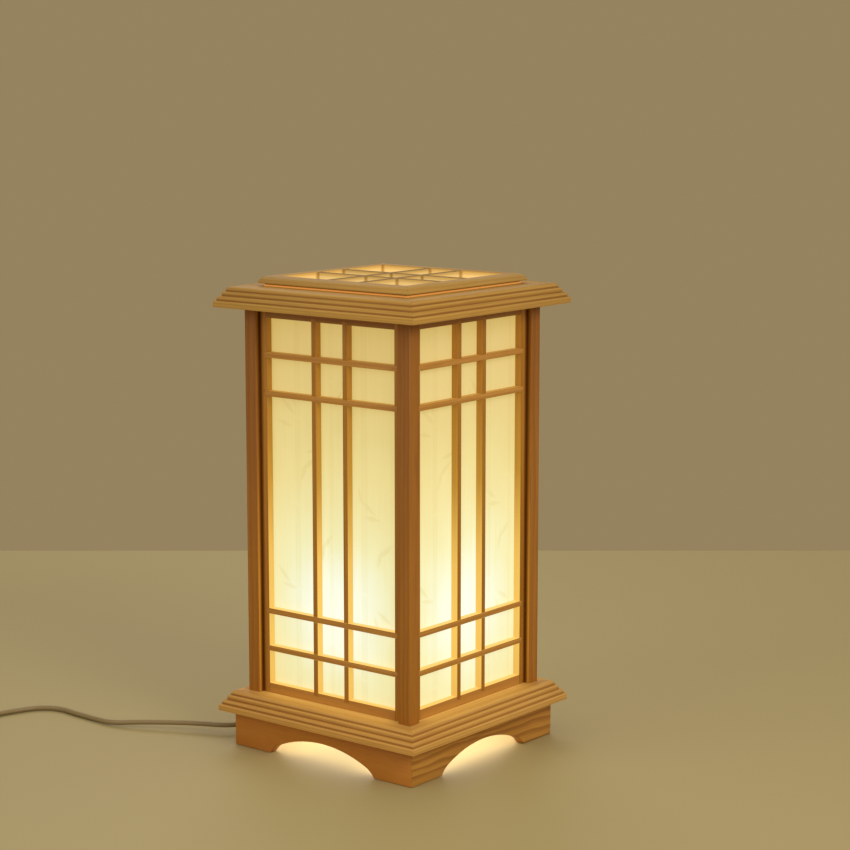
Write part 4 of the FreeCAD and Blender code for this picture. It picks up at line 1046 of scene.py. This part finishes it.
def lead(name, points, nodes):
    """One stretch of lead: a smooth round curve through its route."""
    line = bpy.data.curves.new(name, "CURVE")
    line.dimensions = "3D"
    line.bevel_depth = LEAD_RADIUS
    line.bevel_resolution = 4
    line.resolution_u = 8
    line.use_fill_caps = True
    spline = line.splines.new("NURBS")
    spline.points.add(len(points) - 1)
    for point, place in zip(spline.points, points):
        point.co = (*place, 1)
    spline.order_u = 3
    spline.use_endpoint_u = True
    line.materials.append(lead_plastic)
    piece = placed(name, line)
    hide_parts(*nodes)
    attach(piece, "lantern")
    return piece


lead_to_switch = lead("lead_to_switch", LEAD_TO_SWITCH, ["cord_to_switch"])

# In-line switch
# A pale two-part case that the lead runs through, with a rocker in its top. Moulded ribs
# on both ends give a hold.
SWITCH_MIDDLE = -0.243
SWITCH_RIB_PITCH = 0.0018
SWITCH_RIB_DEPTH = 0.0004
SWITCH_RIBS_FROM = (0.0170, 0.0178)
SWITCH_RIBS_TO = (0.0262, 0.0254)
switch_plastic = moulded("switch plastic", linear(214, 206, 182), roughness=0.32)
switch_tree = switch_plastic.node_tree
_, switch_y, _ = surface_axes(switch_tree)
along_switch = calculate(switch_tree, "SUBTRACT", switch_y, SWITCH_MIDDLE)
along_switch = calculate(switch_tree, "ABSOLUTE", along_switch)
switch_ribs = product(
    switch_tree,
    waves(switch_tree, along_switch, SWITCH_RIB_PITCH),
    eased_step(switch_tree, along_switch, *SWITCH_RIBS_FROM),
    eased_step(switch_tree, along_switch, *SWITCH_RIBS_TO),
)
relief(switch_plastic, switch_ribs, SWITCH_RIB_DEPTH)
finished(switch_plastic, "switch_base", "switch_cover", "switch_rocker")

# Put-away lead
# The rest of the lead is wound in a neat coil of two layers, tied with a soft band, and
# ends in its plug.
COIL_MIDDLE = (-0.304545, -0.3196, 0.0033)
COIL_LAYER = 0.0051

# The coil's radius at each half turn: inwards on the lower layer, up by one layer at the
# climb, then outwards on the upper one.
COIL_RADII = (
    0.034455, 0.031905, 0.029355, 0.026805, 0.024255, 0.021705, 0.019155, 0.015005,
    0.015005, 0.019155, 0.021705, 0.024255, 0.026805, 0.029355, 0.031905, 0.034455,
)
COIL_CLIMB = 7
COIL_STEPS = 8
COIL_HALF_TURNS = 14.5
TIE_RIB_PITCH = 0.0009
TIE_RIB_DEPTH = 0.0002
LEAD_TO_COIL = (
    (-0.339, -0.277, 0.0070),
    (-0.339, -0.288, 0.0070),
    (-0.339, -0.303, 0.0033),
    (-0.339, -0.315, 0.0033),
)
LEAD_TO_PLUG = (
    (-0.299945, -0.35278, 0.0084),
    (-0.290945, -0.35278, 0.0084),
    (-0.277945, -0.35358, 0.0050),
    (-0.265945, -0.35358, 0.0044),
    (-0.254945, -0.35278, 0.0070),
    (-0.245945, -0.35278, 0.0070),
)

# The curve runs a little inside its points, so they stand further out than the lead does.
coil_turns = []
outward = 1 / math.cos(math.pi / COIL_STEPS / 2)
for step in range(1, round(COIL_HALF_TURNS * COIL_STEPS)):
    half_turns = step / COIL_STEPS
    whole = int(half_turns)
    share = half_turns - whole
    radius = COIL_RADII[whole] * (1 - share) + COIL_RADII[whole + 1] * share
    climbed = min(max(half_turns - COIL_CLIMB, 0), 1)
    angle = math.pi * (1 + half_turns)
    coil_turns.append((
        COIL_MIDDLE[0] + radius * outward * math.cos(angle),
        COIL_MIDDLE[1] + radius * outward * math.sin(angle),
        COIL_MIDDLE[2] + COIL_LAYER * climbed,
    ))
put_away_lead = lead(
    "put_away_lead",
    (*LEAD_TO_COIL, *coil_turns, *LEAD_TO_PLUG),
    ["cord_to_coil", "cord_coil", "cord_to_plug"],
)
tie_plastic = moulded("tie band", linear(46, 44, 42), roughness=0.6)
tie_tree = tie_plastic.node_tree
tie_x, _, tie_z = surface_axes(tie_tree)
tie_round = calculate(tie_tree, "ADD", tie_x, tie_z)
relief(tie_plastic, waves(tie_tree, tie_round, TIE_RIB_PITCH), TIE_RIB_DEPTH)
finished(tie_plastic, "coil_tie")

# Plug
# A flat two-pin plug moulded onto the end of the lead, with a ribbed grip. Its two pins
# are brass.
PLUG_RIB_PITCH = 0.0024
PLUG_RIB_DEPTH = 0.0005
PLUG_RIBS_FROM = (-0.238, -0.237)
PLUG_RIBS_TO = (-0.224, -0.225)
plug_plastic = moulded("plug plastic", linear(206, 198, 172), roughness=0.38)
plug_tree = plug_plastic.node_tree
plug_x, _, _ = surface_axes(plug_tree)
plug_ribs = product(
    plug_tree,
    waves(plug_tree, plug_x, PLUG_RIB_PITCH),
    eased_step(plug_tree, plug_x, *PLUG_RIBS_FROM),
    eased_step(plug_tree, plug_x, *PLUG_RIBS_TO),
)
relief(plug_plastic, plug_ribs, PLUG_RIB_DEPTH)
pin_brass = turned_metal("pin brass", (0.80, 0.64, 0.32), roughness=0.25, scale=600)
finished(plug_plastic, "plug_body")
finished(pin_brass, "plug_pins")
